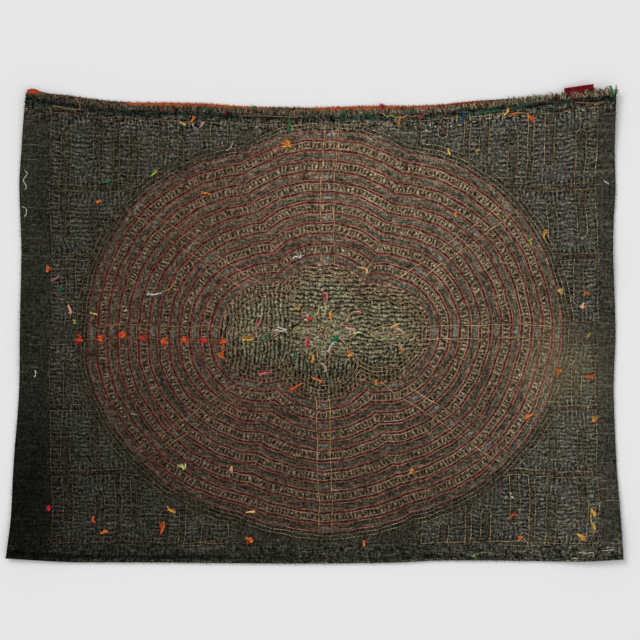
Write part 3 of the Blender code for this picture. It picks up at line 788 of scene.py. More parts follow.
def tape_cotton():
    """Crimson tape with a fine rib."""
    dye = Dye("tape_end_finish", roughness=0.85)
    rib = dye.maths("SINE", dye.across * (math.tau / RIB_PITCH)) * 0.5 + 0.5
    wash = dye.cloud(4.0, 3.0, 0.65)
    colour = dye.tint(dye.fade(wash, 0.3, 0.7), rgb(84, 5, 16), rgb(132, 12, 30))
    return dye.finish(dye.scaled(colour, 0.8 + rib * 0.4), rib * 0.1 + wash * 0.3)


def fray_cotton(name, stops):
    """Loose weaving threads of several colours."""
    dye = Dye(name, roughness=0.9)
    ramp = {"stops": [(place, rgb(*colour)) for place, colour in stops]}
    colour = dye.node("ShaderNodeValToRGB", ramp, [dye.named("shade")])
    right = dye.fade(dye.across, 30.0, 150.0)
    return dye.finish(dye.scaled(colour, (0.35 + fading(dye) * 0.75) * (0.66 + right * 0.4)))


def link_piece(name, mesh, material):
    """An object at the origin with one finish, added to the scene."""
    mesh.materials.clear()
    mesh.materials.append(material)
    piece = bpy.data.objects.new(name, mesh)
    bpy.context.scene.collection.objects.link(piece)
    return piece


def mesh_of(name, vertices, faces):
    """A mesh in metres from vertices in millimetres, shaded smooth."""
    mesh = bpy.data.meshes.new(name)
    mesh.from_pydata((np.asarray(vertices) * MM).tolist(), [], faces)
    mesh.shade_smooth()
    mesh.update()
    return mesh


# How far a face's normal points up on a cloth's upper side at the least, and on its rim at the most
FACES_UP = 0.7
FACES_ASIDE = 0.3


def edge_loop(node):
    """The rim of a cloth's upper side in the frame, as places in millimetres, in order around it."""
    solid = bmesh.new()
    solid.from_mesh(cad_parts[node].data)
    bmesh.ops.remove_doubles(solid, verts=solid.verts, dist=0.001 * MM)
    after = {}
    for edge in solid.edges:
        ups = sorted(face.normal.z for face in edge.link_faces)
        if len(ups) == 2 and ups[1] > FACES_UP and abs(ups[0]) < FACES_ASIDE:
            a, b = edge.verts
            after.setdefault(a, []).append(b)
            after.setdefault(b, []).append(a)
    start = min(after, key=lambda vertex: vertex.co.x + vertex.co.y)
    loop, before, here = [start], None, start
    while True:
        step = [vertex for vertex in after[here] if vertex is not before]
        before, here = here, step[0]
        if here is start:
            break
        loop.append(here)
    places = np.array([vertex.co[:2] for vertex in loop]) / MM
    solid.free()
    ahead = np.roll(places, -1, axis=0)
    turning = (places[:, 0] * ahead[:, 1] - places[:, 1] * ahead[:, 0]).sum()
    return places if turning > 0 else np.roll(places[::-1], 1, axis=0)


def smoothed(points, count):
    """A Catmull-Rom curve through points, as a number of evenly spaced places."""
    points = np.vstack((2 * points[0] - points[1], points, 2 * points[-1] - points[-2]))
    fine = []
    for before, a, b, after in zip(points, points[1:], points[2:], points[3:]):
        t = np.linspace(0, 1, 20, endpoint=False)[:, None]
        curve = 2 * a + (b - before) * t + (2 * before - 5 * a + 4 * b - after) * t**2
        fine.append(0.5 * (curve + (3 * a - before - 3 * b + after) * t**3))
    fine = np.vstack(fine + [points[-2][None]])
    run = np.concatenate(([0], np.cumsum(np.linalg.norm(np.diff(fine, axis=0), axis=1))))
    at = np.linspace(0, run[-1], count)
    return np.stack([np.interp(at, run, fine[:, axis]) for axis in (0, 1)], -1)


def four_sides(node, cells):
    """A cloth's lower, right, upper and left edges, each from its left or lower end."""
    loop = edge_loop(node)
    corners = [int(np.argmax(loop @ way)) for way in ((-1, -1), (1, -1), (1, 1), (-1, 1))]
    sides = []
    for number, count in enumerate((cells.across, cells.up) * 2):
        start, end = corners[number], corners[(number + 1) % 4]
        if end <= start:
            end += len(loop)
        places = loop[np.arange(start, end + 1) % len(loop)]
        sides.append(smoothed(places, count + 1))
    return sides[0], sides[1], sides[2][::-1], sides[3][::-1]


def coons(sides):
    """A grid of places that fills the space between four edges."""
    lower, right, upper, left = sides
    u = np.linspace(0, 1, len(lower))[None, :, None]
    v = np.linspace(0, 1, len(left))[:, None, None]
    grid = (1 - v) * lower[None] + v * upper[None] + (1 - u) * left[:, None] + u * right[:, None]
    flat = (1 - u) * (1 - v) * lower[0] + u * (1 - v) * lower[-1]
    return grid - flat - (1 - u) * v * upper[0] - u * v * upper[-1]


def around(low_row, low_column, high_row, high_column):
    """The grid's points round a rectangle of it, from its lower left corner."""
    ring = [(low_row, column) for column in range(low_column, high_column)]
    ring += [(row, high_column) for row in range(low_row, high_row)]
    ring += [(high_row, column) for column in range(high_column, low_column, -1)]
    return ring + [(row, low_column) for row in range(high_row, low_row, -1)]


def cloth_piece(name, grid, tops, unders, coarse):
    """A closed cloth: a fine grid above, and a coarser one below that shares its rim."""
    rows, columns = grid.shape[:2]
    upper = np.dstack((grid, tops)).reshape(-1, 3)
    lower = np.dstack((grid, unders)).reshape(-1, 3)
    number = np.arange(rows * columns).reshape(rows, columns)
    a, b = number[:-1, :-1], number[:-1, 1:]
    c, d = number[1:, 1:], number[1:, :-1]
    faces = np.stack((a, b, c, d), -1).reshape(-1, 4).tolist()
    keep = np.zeros((rows, columns), bool)
    keep[::coarse, ::coarse] = True
    keep[[0, -1], :] = True
    keep[:, [0, -1]] = True
    below = np.full((rows, columns), -1)
    below[keep] = len(upper) + np.arange(keep.sum())
    rim = around(0, 0, rows - 1, columns - 1)
    for here, there in zip(rim, rim[1:] + rim[:1]):
        faces.append([number[here], below[here], below[there], number[there]])
    for row in range(0, rows - 1, coarse):
        for column in range(0, columns - 1, coarse):
            cell = around(row, column, row + coarse, column + coarse)
            faces.append([below[at] for at in reversed(cell) if below[at] >= 0])
    vertices = np.vstack((upper, lower[keep.reshape(-1)]))
    faces = [[int(corner) for corner in face] for face in faces]
    return mesh_of(name, vertices, faces)


def lumps(place, size, height, seed):
    """Uneven lumps of a size and a height at places, in millimetres."""
    flat = place.reshape(-1, 2) / size
    values = [noise.noise((x, y, seed)) for x, y in flat.tolist()]
    return np.array(values).reshape(place.shape[:-1]) * height


def tucked(grid):
    """A cloth's grid with its upper left corner drawn in a little."""
    left = np.linspace(1, 0, grid.shape[1])[None] ** 14
    high = np.linspace(0, 1, grid.shape[0])[:, None] ** 14
    grid[..., 0] += 1.5 * left * high
    return grid


def quilted_back():
    """The back cloth, quilted by its seams."""
    grid = tucked(coons(four_sides("back_cloth", BACK_CELLS)))
    plan = planned(grid)
    lines = BLOCK_LINES + CENTRE_LINES + ECHO_RINGS
    ways = np.concatenate([np.gradient(line, axis=0) for line in lines])
    tree = search_tree(np.concatenate(lines))
    found = [tree.find((x, y, 0.0)) for x, y in plan.reshape(-1, 2).tolist()]
    near = np.array([hit[2] for hit in found]).reshape(plan.shape[:2])
    way = ways[[hit[1] for hit in found]].reshape(plan.shape)
    run = np.abs(way[..., 0]) / (np.abs(way).sum(-1) + 1e-9)
    radius = np.minimum(*lobes(plan))
    beyond = (radius > LAST_SEAM) | (radius < FIRST_SEAM)
    field = (np.abs(plan[..., 0]) < FIELD_HALF_WIDTH) & (np.abs(plan[..., 1]) < FIELD_HALF_HEIGHT)
    puff = BLOCK_RISE * (1 - np.exp(-((near / 1.5) ** 2)))
    margin = BLOCK_RISE * np.exp(-((near - 3.0) / 5.0) ** 2) * 0.5
    height = relief(plan) + np.where(beyond, np.where(field, puff, margin), 0.0)
    height = height + lumps(grid, 9.0, 0.22, 3.0) + lumps(grid, 28.0, 0.3, 7.0)
    stand = lift(grid)
    tops = BACK_TOP + stand + height
    unders = BACK_UNDERSIDE + stand
    edge = np.zeros(tops.shape, bool)
    edge[[0, -1], :] = True
    edge[:, [0, -1]] = True
    tops[edge] = unders[edge] + EDGE_THICKNESS
    mesh = cloth_piece("quilted_back", grid, tops, unders, BACK_CELLS.coarse)
    layer = mesh.uv_layers.new(name="plan")
    corners = np.zeros(len(mesh.loops), int)
    mesh.loops.foreach_get("vertex_index", corners)
    places = np.array([vertex.co[:2] for vertex in mesh.vertices]) / MM
    layer.data.foreach_set("uv", (planned(places) * MM)[corners].ravel())
    measures = {
        "run": run,
        "near_seam": near,
        "spoke": off_spoke(plan),
        "from_top": np.linalg.norm(grid - grid[-1], axis=2),
        "from_low": np.linalg.norm(grid - grid[0], axis=2),
        "pale": pale_parts(plan),
    }
    for title, values in measures.items():
        attribute = mesh.attributes.new(title, "FLOAT", "POINT")
        full = np.full(len(mesh.vertices), FAR_OFF)
        full[: values.size] = values.reshape(-1)
        attribute.data.foreach_set("value", full)
    return link_piece("quilted_back", mesh, back_cotton()), grid, height


def front_cloth():
    """The picture side's cloth, which shows as a line of orange and red past the top edge."""
    grid = tucked(coons(four_sides("face_cloth", FRONT_CELLS)))
    across, up = grid[-1].T
    rise = (np.interp(across, *zip(*FRONT_EDGE)) - up) * np.interp(across, (130.0, 138.0), (1.0, 0.0))
    grid[..., 1] += rise[None] * np.linspace(0, 1, len(grid))[:, None] ** 9
    stand = lift(grid)
    mesh = cloth_piece("front_cloth", grid, FACE_TOP + stand, stand, FRONT_CELLS.coarse)
    return link_piece("front_cloth", mesh, front_cotton()), grid[-1]


def tape_end():
    """The end of crimson tape that is caught between the cloths near the top right corner."""
    grid = coons(four_sides("red_scrap", TAPE_CELLS))
    rows, columns = grid.shape[:2]
    grid[..., 1] -= 1.4 * np.linspace(1, 0, columns)[None] * np.linspace(0, 1, rows)[:, None]
    low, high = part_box("red_scrap")
    across = (grid[..., 0] - low[0] / MM) / ((high[0] - low[0]) / MM)
    slope = (high[2] - low[2]) / MM - TAPE_THICKNESS
    rise = low[2] / MM + slope * across
    tops = rise + TAPE_THICKNESS + lumps(grid, 2.6, 0.25, 5.0)
    mesh = cloth_piece("tape_end", grid, tops, rise, TAPE_CELLS.coarse)
    return link_piece("tape_end", mesh, tape_cotton())


def surface_height(grid, height):
    """A function that gives the back cloth's height off the floor at places, in millimetres."""
    tree = search_tree(grid.reshape(-1, 2))
    flat = height.reshape(-1)

    def height_at(places):
        """The height at places, from the grid points that are nearest to each."""
        values = []
        for x, y in places.tolist():
            hits = tree.find_n((x, y, 0.0), 4)
            weights = [1.0 / (hit[2] + 0.05) for hit in hits]
            total = sum(weights)
            values.append(sum(w * flat[hit[1]] for w, hit in zip(weights, hits)) / total)
        return BACK_TOP + lift(places) + np.array(values)

    return height_at


class Growth(Nodes):
    """A tree of geometry nodes with named inputs, which ends in plain mesh of one cotton."""

    def __init__(self, name, sizes):
        super().__init__(bpy.data.node_groups.new(name, "GeometryNodeTree"))
        kinds = {"Line": "Geometry", **{size: "Float" for size in sizes}}
        kinds.update({"Seed": "Int", "Cotton": "Material"})
        for title, kind in kinds.items():
            self.tree.interface.new_socket(title, in_out="INPUT", socket_type="NodeSocket" + kind)
        self.tree.interface.new_socket("Sewing", in_out="OUTPUT", socket_type="NodeSocketGeometry")
        given = self.tree.nodes.new("NodeGroupInput")
        self.given = {title: Field(self, given.outputs[title]) for title in kinds}
        values = {"Curve": self.given["Line"], "Length": self.given["Pitch"]}
        self.points = self.node("GeometryNodeCurveToPoints", {"mode": "LENGTH"}, values)
        self.tangent = Field(self, self.points.socket.node.outputs["Tangent"])

    def dice(self, low, high, salt):
        """A random number for each stitch or fibre, from the run's own seed."""
        values = {2: low, 3: high, "Seed": self.given["Seed"] + salt}
        return self.node("FunctionNodeRandomValue", {"data_type": "FLOAT"}, values, output=1)

    def triple(self, x, y, z):
        """A vector of three measures."""
        return self.node("ShaderNodeCombineXYZ", {}, [x, y, z])

    def thread(self, path, radius, sides):
        """A closed round thread along a path."""
        circle = {"Resolution": sides, "Radius": radius}
        ring = self.node("GeometryNodeCurvePrimitiveCircle", {"mode": "RADIUS"}, circle)
        values = {"Curve": path, "Profile Curve": ring, "Fill Caps": True}
        return self.node("GeometryNodeSetShadeSmooth", {}, [self.node("GeometryNodeCurveToMesh", {}, values)])

    def plant(self, shape, moved, turn, size):
        """Set the shape at every point, turned off the line's way, and end the tree."""
        points = self.node("GeometryNodeSetPosition", {}, {"Geometry": self.points, "Offset": moved})
        along = self.node("FunctionNodeAlignRotationToVector", {"axis": "X"}, {"Vector": self.tangent})
        extra = self.node("FunctionNodeEulerToRotation", {}, [turn])
        turned = self.node("FunctionNodeRotateRotation", {"rotation_space": "LOCAL"}, [along, extra])
        values = {"Points": points, "Instance": shape, "Rotation": turned, "Scale": size}
        laid = self.node("GeometryNodeInstanceOnPoints", {}, values)
        settings = {"data_type": "FLOAT", "domain": "INSTANCE"}
        values = {"Geometry": laid, "Name": "shade", "Value": self.dice(0.0, 1.0, 9)}
        shaded = self.node("GeometryNodeStoreNamedAttribute", settings, values)
        whole = self.node("GeometryNodeRealizeInstances", {}, [shaded])
        values = {"Geometry": whole, "Material": self.given["Cotton"]}
        whole = self.node("GeometryNodeSetMaterial", {}, values)
        out = self.tree.nodes.new("NodeGroupOutput")
        self.tree.links.new(whole.socket, out.inputs[0])


def stitch_tree():
    """Arched stitches along every line, each a little out of place."""
    sew = Growth("stitches", ("Pitch", "Length", "Thread", "Arch", "Turn", "Shift"))
    half = sew.given["Length"] * 0.5
    sink = sew.given["Arch"] * -0.6
    ends = {"Start": sew.triple(-half, 0.0, sink), "End": sew.triple(half, 0.0, sink)}
    middle = sew.triple(0.0, 0.0, sew.given["Arch"] * 2.0)
    path = sew.node("GeometryNodeCurveQuadraticBezier", {}, {"Resolution": 3, "Middle": middle, **ends})
    stitch = sew.thread(path, sew.given["Thread"] * 0.5, 4)
    shift = sew.dice(-1.0, 1.0, 1) * sew.given["Shift"]
    moved = sew.scaled(sew.tangent, shift)
    turn = sew.triple(0.0, 0.0, sew.dice(-1.0, 1.0, 2) * sew.given["Turn"])
    size = sew.triple(sew.dice(0.82, 1.12, 3), sew.dice(0.85, 1.15, 4), sew.dice(0.7, 1.3, 5))
    sew.plant(stitch, moved, turn, size)
    return sew.tree


def fibre_tree():
    """Loose fibres that stand out to the left of a line, each bent and turned by chance."""
    fray = Growth("fibres", ("Pitch", "Longest", "Fibre", "Turn"))
    bend = {"Start": (0, 0, 0), "Middle": (0.14, 0.55, 0.06), "End": (-0.12, 1.0, -0.1)}
    path = fray.node("GeometryNodeCurveQuadraticBezier", {}, {"Resolution": 3, **bend})
    reach = fray.given["Longest"] * fray.node("GeometryNodeInputRadius")
    reach = reach * (fray.dice(0.0, 1.0, 7) ** 1.5 * 0.7 + 0.3)
    fibre = fray.thread(path, fray.given["Fibre"], 3)
    moved = fray.triple(fray.dice(-0.3, 0.3, 1), fray.dice(-0.6, 0.1, 2), fray.dice(-0.5, 0.2, 3))
    moved = fray.vector("MULTIPLY", moved, (MM, MM, MM))
    yaw = fray.dice(-1.0, 1.0, 6) * fray.given["Turn"]
    turn = fray.triple(fray.dice(-0.35, 0.2, 4), fray.dice(-0.25, 0.25, 5), yaw)
    fray.plant(fibre, moved, turn, fray.triple(fray.dice(0.8, 1.6, 8) * MM, reach, reach))
    return fray.tree


def line_object(name, lines):
    """A curve object of open lines in millimetres; a fourth column is the fibres' share of length."""
    curve = bpy.data.curves.new(name, "CURVE")
    curve.dimensions = "3D"
    for line in lines:
        spline = curve.splines.new("POLY")
        spline.points.add(len(line) - 1)
        row = np.column_stack((line[:, :3] * MM, np.ones(len(line))))
        spline.points.foreach_set("co", row.ravel())
        if line.shape[1] > 3:
            spline.points.foreach_set("radius", line[:, 3])
    item = bpy.data.objects.new(name, curve)
    bpy.context.scene.collection.objects.link(item)
    return item


def grown(name, lines, tree, material, seed, sizes):
    """The plain mesh that a tree of geometry nodes makes from lines, as a piece of its own."""
    source = line_object(name + "_lines", lines)
    modifier = source.modifiers.new(name, "NODES")
    modifier.node_group = tree
    values = {"Seed": seed, "Cotton": material, **sizes}
    for item in tree.interface.items_tree:
        if item.in_out == "INPUT" and item.name in values:
            modifier[item.identifier] = values[item.name]
    bpy.context.view_layer.update()
    depsgraph = bpy.context.evaluated_depsgraph_get()
    mesh = bpy.data.meshes.new_from_object(source.evaluated_get(depsgraph), depsgraph=depsgraph)
    source.modifiers.remove(modifier)
    bpy.data.objects.remove(source)
    mesh.name = name
    return link_piece(name, mesh, material)


# The top edge's sewing: its distance from the edge in millimetres, and its parts as shares of the edge
GREEN_INSET = 5.6
GREEN_SPANS = [
    (0.003, 0.022), (0.044, 0.058), (0.068, 0.09), (0.17, 0.29), (0.306, 0.326), (0.345, 0.36),
    (0.445, 0.462), (0.535, 0.592), (0.61, 0.626), (0.66, 0.674), (0.753, 0.8), (0.823, 0.84),
]
MARGIN_INSET = 9.4
MARGIN_SPAN = (0.36, 0.62)

# How long the fibres are along each edge, as shares, and the colours that their threads go through
TOP_SHARES = [(0.0, 0.62), (0.16, 0.7), (0.2, 0.85), (0.6, 0.85), (0.72, 0.95), (0.85, 1.2), (1.0, 1.3)]
FRONT_SHARES = [(0.0, 0.3), (0.05, 0.3), (0.06, 0.7), (0.17, 0.8), (0.62, 0.8), (0.8, 0.5), (1.0, 0.2)]
EVEN_SHARES = [(0.0, 1.0), (1.0, 1.0)]
TOP_COLOURS = [(0.0, (26, 24, 20)), (0.4, (70, 60, 46)), (0.7, (160, 140, 106)), (1.0, (212, 194, 156))]
LOW_COLOURS = [(0.0, (40, 38, 32)), (0.6, (84, 78, 64)), (1.0, (150, 144, 124))]

# The colours of the thread ends, by the letters that the tables below use
ENDS_COLOURS = {
    "o": (236, 132, 62), "d": (224, 92, 46), "y": (240, 202, 96), "p": (226, 206, 140), "r": (218, 56, 50),
    "c": (198, 42, 70), "k": (230, 146, 154), "g": (44, 132, 84), "t": (18, 108, 72), "b": (34, 84, 140),
    "w": (232, 230, 222), "e": (226, 216, 190), "n": (190, 142, 104), "u": (176, 112, 92),
    "m": (128, 38, 42), "s": (112, 110, 94),
}

# Each kind of strand: its length in millimetres, its bend, how often the bend turns round, and how far
# the strands of one end turn away from each other, in degrees
Strand = namedtuple("Strand", "length bend turns spread")
STRANDS = {
    "tail": Strand(6.0, 0.1, 0.1, 9),
    "curl": Strand(8.0, 0.22, 0.14, 10),
    "zigzag": Strand(10.0, 0.5, 0.3, 8),
    "fork": Strand(6.0, 0.22, 0.1, 16),
    "knot": Strand(0.0, 0.0, 0.0, 55),
}
STRAND_STEP = 0.6
STRAND_HOP = 0.45
STRAND_SIDES = 4
KNOT_PLACES = 34

# Loose thread ends: place in millimetres, kind, colours, size and heading in degrees
ENDS = [
    (-104.4, 145.3, "knot", "m", 0.35, 0), (-95.7, 144.2, "knot", "m", 0.3, 90),
    (-87.8, 145.0, "knot", "m", 0.35, 180), (-61.0, 143.2, "knot", "m", 0.55, 40),
    (-91.5, 137.6, "tail", "yp", 0.95, 335), (-84.6, 137.6, "tail", "oo", 0.95, 25),
    (-78.2, 134.0, "tail", "ek", 0.95, 25), (-40.5, 145.5, "fork", "tg", 0.55, 100),
    (-16.5, 120.5, "fork", "oyo", 1.1, 115), (-1.4, 143.0, "fork", "t", 0.7, 60),
    (19.6, 143.5, "knot", "tg", 0.7, 10), (46.4, 148.8, "knot", "cc", 0.8, 200),
    (58.5, 141.7, "tail", "no", 1.2, 262), (65.0, 143.6, "fork", "t", 0.55, 80),
    (72.8, 140.6, "knot", "r", 0.45, 60), (101.5, 144.6, "tail", "bbb", 1.45, 264),
    (128.8, 142.0, "tail", "oy", 1.1, 38), (134.6, 142.0, "tail", "od", 0.9, 42),
    (145.0, 143.4, "tail", "odo", 1.2, 300), (176.5, 156.6, "tail", "c", 0.6, 250),
    (173.6, 157.4, "tail", "m", 0.7, 285), (180.5, 156.8, "tail", "c", 0.5, 265),
    (201.2, 154.2, "tail", "gt", 1.3, 68), (91.0, 119.5, "curl", "yp", 0.7, 300),
    (112.0, 118.5, "knot", "y", 0.8, 200), (146.5, 57.0, "knot", "yg", 1.0, 320),
    (157.0, 57.5, "curl", "yo", 0.9, 150), (166.5, 22.5, "knot", "yp", 0.9, 350),
    (184.5, 20.5, "knot", "o", 0.8, 10), (182.0, 11.5, "knot", "oe", 1.1, 30),
    (188.0, -6.0, "tail", "y", 0.7, 240), (167.5, -32.0, "knot", "oo", 1.1, 200),
    (184.0, -36.0, "curl", "od", 0.9, 340), (190.0, -65.5, "knot", "oy", 0.9, 60),
    (149.0, -61.0, "fork", "o", 1.1, 215), (138.5, -131.0, "curl", "d", 0.8, 130),
    (140.4, -145.1, "knot", "do", 0.7, 220), (188.3, -125.6, "tail", "yyo", 1.05, 322),
    (189.5, -135.2, "tail", "ypy", 0.8, 292), (178.8, -142.4, "tail", "yoy", 1.2, 326),
    (130.6, -117.5, "knot", "p", 0.25, 0), (133.5, -115.8, "knot", "p", 0.22, 90),
    (134.8, -118.2, "knot", "w", 0.22, 50), (-181.5, 36.5, "knot", "do", 1.0, 70),
    (-173.5, 33.5, "curl", "k", 0.9, 250), (-171.5, 24.0, "knot", "gt", 0.8, 200),
    (-168.0, 13.0, "curl", "ky", 0.9, 280), (-163.5, 2.5, "knot", "yg", 0.8, 300),
    (-152.5, 7.5, "tail", "y", 0.8, 340), (-147.5, 83.0, "knot", "o", 0.9, 20),
    (-144.5, 96.5, "tail", "tg", 0.9, 10), (-112.0, 100.5, "curl", "yg", 0.8, 50),
    (-104.0, 21.0, "curl", "w", 1.3, 200), (-129.5, 9.0, "tail", "w", 0.5, 350),
    (-14.5, 44.5, "zigzag", "w", 0.9, 30), (-180.5, -126.0, "knot", "cr", 0.7, 90),
    (-150.5, -131.0, "tail", "od", 0.9, 250), (-142.5, -141.0, "knot", "o", 1.1, 200),
    (-100.5, -124.0, "zigzag", "yo", 0.9, 290), (-104.5, -143.0, "curl", "od", 1.0, 100),
    (-89.5, -99.0, "fork", "pgp", 0.8, 85), (-46.5, -128.5, "curl", "yp", 0.9, 30),
    (-43.5, -147.0, "knot", "od", 1.1, 190), (33.5, -150.5, "knot", "o", 0.9, 80),
    (106.5, -158.0, "tail", "gp", 0.6, 350), (30.5, 39.0, "curl", "yp", 1.0, 320),
    (42.0, -39.0, "knot", "yo", 0.9, 300), (57.5, -12.5, "curl", "oe", 1.0, 280),
    (-61.5, -23.5, "fork", "do", 1.0, 160), (-29.0, -32.5, "tail", "ck", 1.5, 200),
    (-8.0, -40.0, "tail", "do", 1.7, 215), (-2.0, -36.0, "zigzag", "o", 1.0, 320),
    (66.0, -101.0, "knot", "dy", 0.8, 40), (-71.0, 88.0, "curl", "o", 0.8, 150),
    (96.0, 74.0, "knot", "yd", 0.8, 130), (-56.0, -96.5, "tail", "yk", 0.8, 250),
]
LINT = [
    (-190.5, -36.0, "curl", "w", 0.6, 40), (197.0, 98.5, "curl", "w", 0.6, 280),
    (124.0, -92.0, "tail", "w", 0.5, 320), (-121.0, -62.0, "curl", "w", 0.6, 170),
    (70.5, 60.0, "tail", "w", 0.4, 70), (12.0, -113.0, "curl", "e", 0.6, 350),
]


# Long loose threads: the colour of each, and the places that it passes, in millimetres
TRAILS = [
    (
        "n", (-163.6, 155.5), (-160.5, 151.0), (-159.5, 147.0),
        (-162.0, 145.8), (-170.0, 147.0), (-178.0, 148.3),
    ),
    ("t", (-196.8, 152.8), (-194.6, 151.4), (-191.2, 151.6)),
    ("t", (-77.8, 144.6), (-76.6, 146.8), (-74.4, 147.2), (-72.4, 145.0)),
    ("n", (-51.0, 141.7), (-36.0, 141.7), (-20.0, 141.0), (-12.0, 140.8), (-10.4, 142.5), (-11.0, 146.0)),
    ("t", (-17.2, 141.0), (-17.6, 136.0), (-17.2, 131.5), (-18.0, 129.4)),
    ("g", (-16.6, 140.4), (-17.4, 137.0), (-16.4, 133.0), (-17.2, 130.0)),
    ("u", (3.0, 140.0), (5.0, 138.4), (7.4, 136.4), (8.4, 133.2)),
    ("t", (31.0, 141.4), (33.2, 143.2), (36.0, 143.0), (39.0, 141.6)),
    ("n", (30.5, 143.2), (30.2, 140.0), (31.8, 137.0), (35.8, 135.6)),
    ("y", (46.4, 143.8), (49.0, 141.4), (52.5, 142.0), (56.0, 140.6), (60.8, 140.9), (63.0, 142.3)),
    ("n", (63.0, 142.3), (66.0, 141.0), (69.0, 141.8), (72.0, 140.8)),
    ("n", (77.7, 148.6), (75.8, 145.6), (74.6, 142.6), (73.2, 140.6)),
    ("n", (86.4, 149.6), (87.2, 147.0), (88.8, 144.6), (89.6, 142.2)),
    ("g", (131.0, 146.2), (137.0, 147.2), (144.0, 149.8), (149.0, 152.8), (152.6, 155.2)),
    ("m", (166.4, 155.6), (166.0, 153.0), (166.6, 150.2)),
    ("t", (172.6, 154.8), (174.4, 153.5), (176.6, 153.4), (178.6, 154.4)),
    ("u", (177.0, 150.6), (182.0, 150.1), (187.0, 150.0), (192.0, 149.8), (196.6, 150.5)),
    ("g", (201.4, 153.4), (203.4, 156.0), (204.3, 159.0), (204.7, 162.2)),
    ("s", (190.0, 141.9), (197.0, 142.2), (204.2, 142.8)),
    ("s", (190.9, 131.4), (197.0, 131.8), (203.2, 132.0)),
    ("s", (-198.0, 121.7), (-192.0, 122.0), (-186.8, 121.5)),
    ("s", (-196.3, 111.8), (-192.0, 111.9), (-188.4, 111.7)),
    ("y", (188.3, -126.2), (188.0, -131.0), (188.2, -134.6), (189.6, -137.8)),
    ("n", (190.2, -140.2), (189.8, -142.4), (187.6, -143.6), (184.8, -144.0)),
    ("n", (141.0, -145.8), (143.8, -147.4), (145.4, -149.6), (145.0, -152.2)),
    ("e", (179.4, -155.4), (184.4, -155.6), (189.6, -155.2)),
    ("e", (195.6, -153.9), (199.6, -153.6), (203.4, -153.1)),
    ("e", (174.6, -159.8), (176.6, -159.2), (178.8, -159.4)),
    ("w", (-197.5, 105.0), (-195.6, 102.0), (-198.2, 98.0), (-196.2, 94.0), (-196.8, 91.5)),
    ("w", (-198.8, 80.0), (-196.4, 78.4), (-196.2, 75.0), (-197.6, 73.0)),
    ("n", (-105.0, 21.0), (-98.0, 24.5), (-94.0, 30.0)),
    ("e", (-60.0, 118.0), (-57.0, 120.0), (-55.5, 124.0)),
]


def knots_row():
    """The row of red and orange knots where the rings' sewing starts, along the left spoke."""
    rows = []
    for number in range(CHANNELS + 1):
        across = -(SIDE_LOBE + FIRST_SEAM + number * REPEAT - 4.0)
        place = sewn((across, -SPOKE_GAP / 2 - 1.0 + (number % 3) * 0.8))
        rows.append((*place, "knot", ("rod", "rdc", "dor")[number % 3], 1.15, 200 + number * 47))
    return rows


def flower_ends():
    """Short bright ends over the flower's petals and the leaves."""
    colours = ["ek", "yo", "gp", "re", "kc", "ny", "we", "tg"]
    kinds = ["curl", "tail", "curl", "knot"]
    rows = []
    for petal in range(PETALS):
        angle = math.tau * (petal + 0.3) / PETALS
        reach = (14.5, 9.0, 17.5)[petal % 3]
        place = sewn(reach * compass(angle))
        rows.append((*place, kinds[petal % 4], colours[petal], 1.3, 137 * petal))
        place = sewn((26.0, 21.0) * compass(angle + 0.5))
        rows.append((*place, kinds[(petal + 1) % 4], colours[(petal + 3) % 8], 1.05, 71 * petal))
    for number, across in enumerate((-56, -46, -37, 36, 45, 54)):
        place = sewn((across, (-3.0, 4.0, 0.0)[number % 3]))
        rows.append((*place, kinds[number % 3], colours[(number * 3 + 1) % 8], 1.0, 97 * number))
    return rows


def knot_path(rng, size, heading):
    """How one strand is tangled to a small knot and then runs out of it."""
    tangle = [(rng.uniform(-1.3, 1.3) * size, rng.uniform(-1.1, 1.1) * size) for _ in range(7)]
    out = compass(math.radians(heading)) * size
    places = smoothed(np.array(tangle + [out * 1.5, out * 3.4]), KNOT_PLACES)
    share = np.linspace(0, 1, len(places))
    hops = (0.2 + 0.9 * np.abs(np.sin(4 * math.pi * share))) * np.clip(2.2 * (1 - share), 0, 1)
    return np.column_stack((places, hops))


def strand_path(rng, kind, size, heading):
    """How one strand runs from its root, as offsets on the cloth and hops off it, in millimetres."""
    if kind == "knot":
        return knot_path(rng, size, heading)
    length = STRANDS[kind].length * size
    bend = STRANDS[kind].bend / size * rng.choice((-1, 1))
    path, here, drift = [(0.0, 0.0, 0.0)], math.radians(heading), 0.0
    x = y = 0.0
    for number in range(1, int(length / STRAND_STEP) + 1):
        if rng.random() < STRANDS[kind].turns:
            bend *= -rng.uniform(0.6, 1.2)
        drift = 0.8 * drift + rng.uniform(-0.12, 0.12)
        here += (bend * rng.uniform(0.4, 1.4) + drift) * STRAND_STEP
        x += STRAND_STEP * math.cos(here)
        y += STRAND_STEP * math.sin(here)
        path.append((x, y, STRAND_HOP * math.sin(math.pi * number * STRAND_STEP / length)))
    return np.array(path)


def frames(path):
    """The directions beside and over a path, at each of its points."""
    tangent = np.gradient(path, axis=0)
    tangent /= np.linalg.norm(tangent, axis=1)[:, None]
    beside = np.cross((0.0, 0.0, 1.0), tangent)
    beside /= np.linalg.norm(beside, axis=1)[:, None] + 1e-9
    return beside, np.cross(tangent, beside)


def plies(path, radius, start):
    """The two plies that are twisted into a strand and come apart at its tip."""
    beside, over = frames(path)
    share = np.linspace(0, 1, len(path))
    turn = start + share * len(path) * 0.55
    spread = radius * (0.75 + 2.4 * share**3)
    for half in (0.0, math.pi):
        aside = (spread * np.cos(turn + half))[:, None] * beside
        yield path + aside + (radius * 0.7 * np.sin(turn + half))[:, None] * over


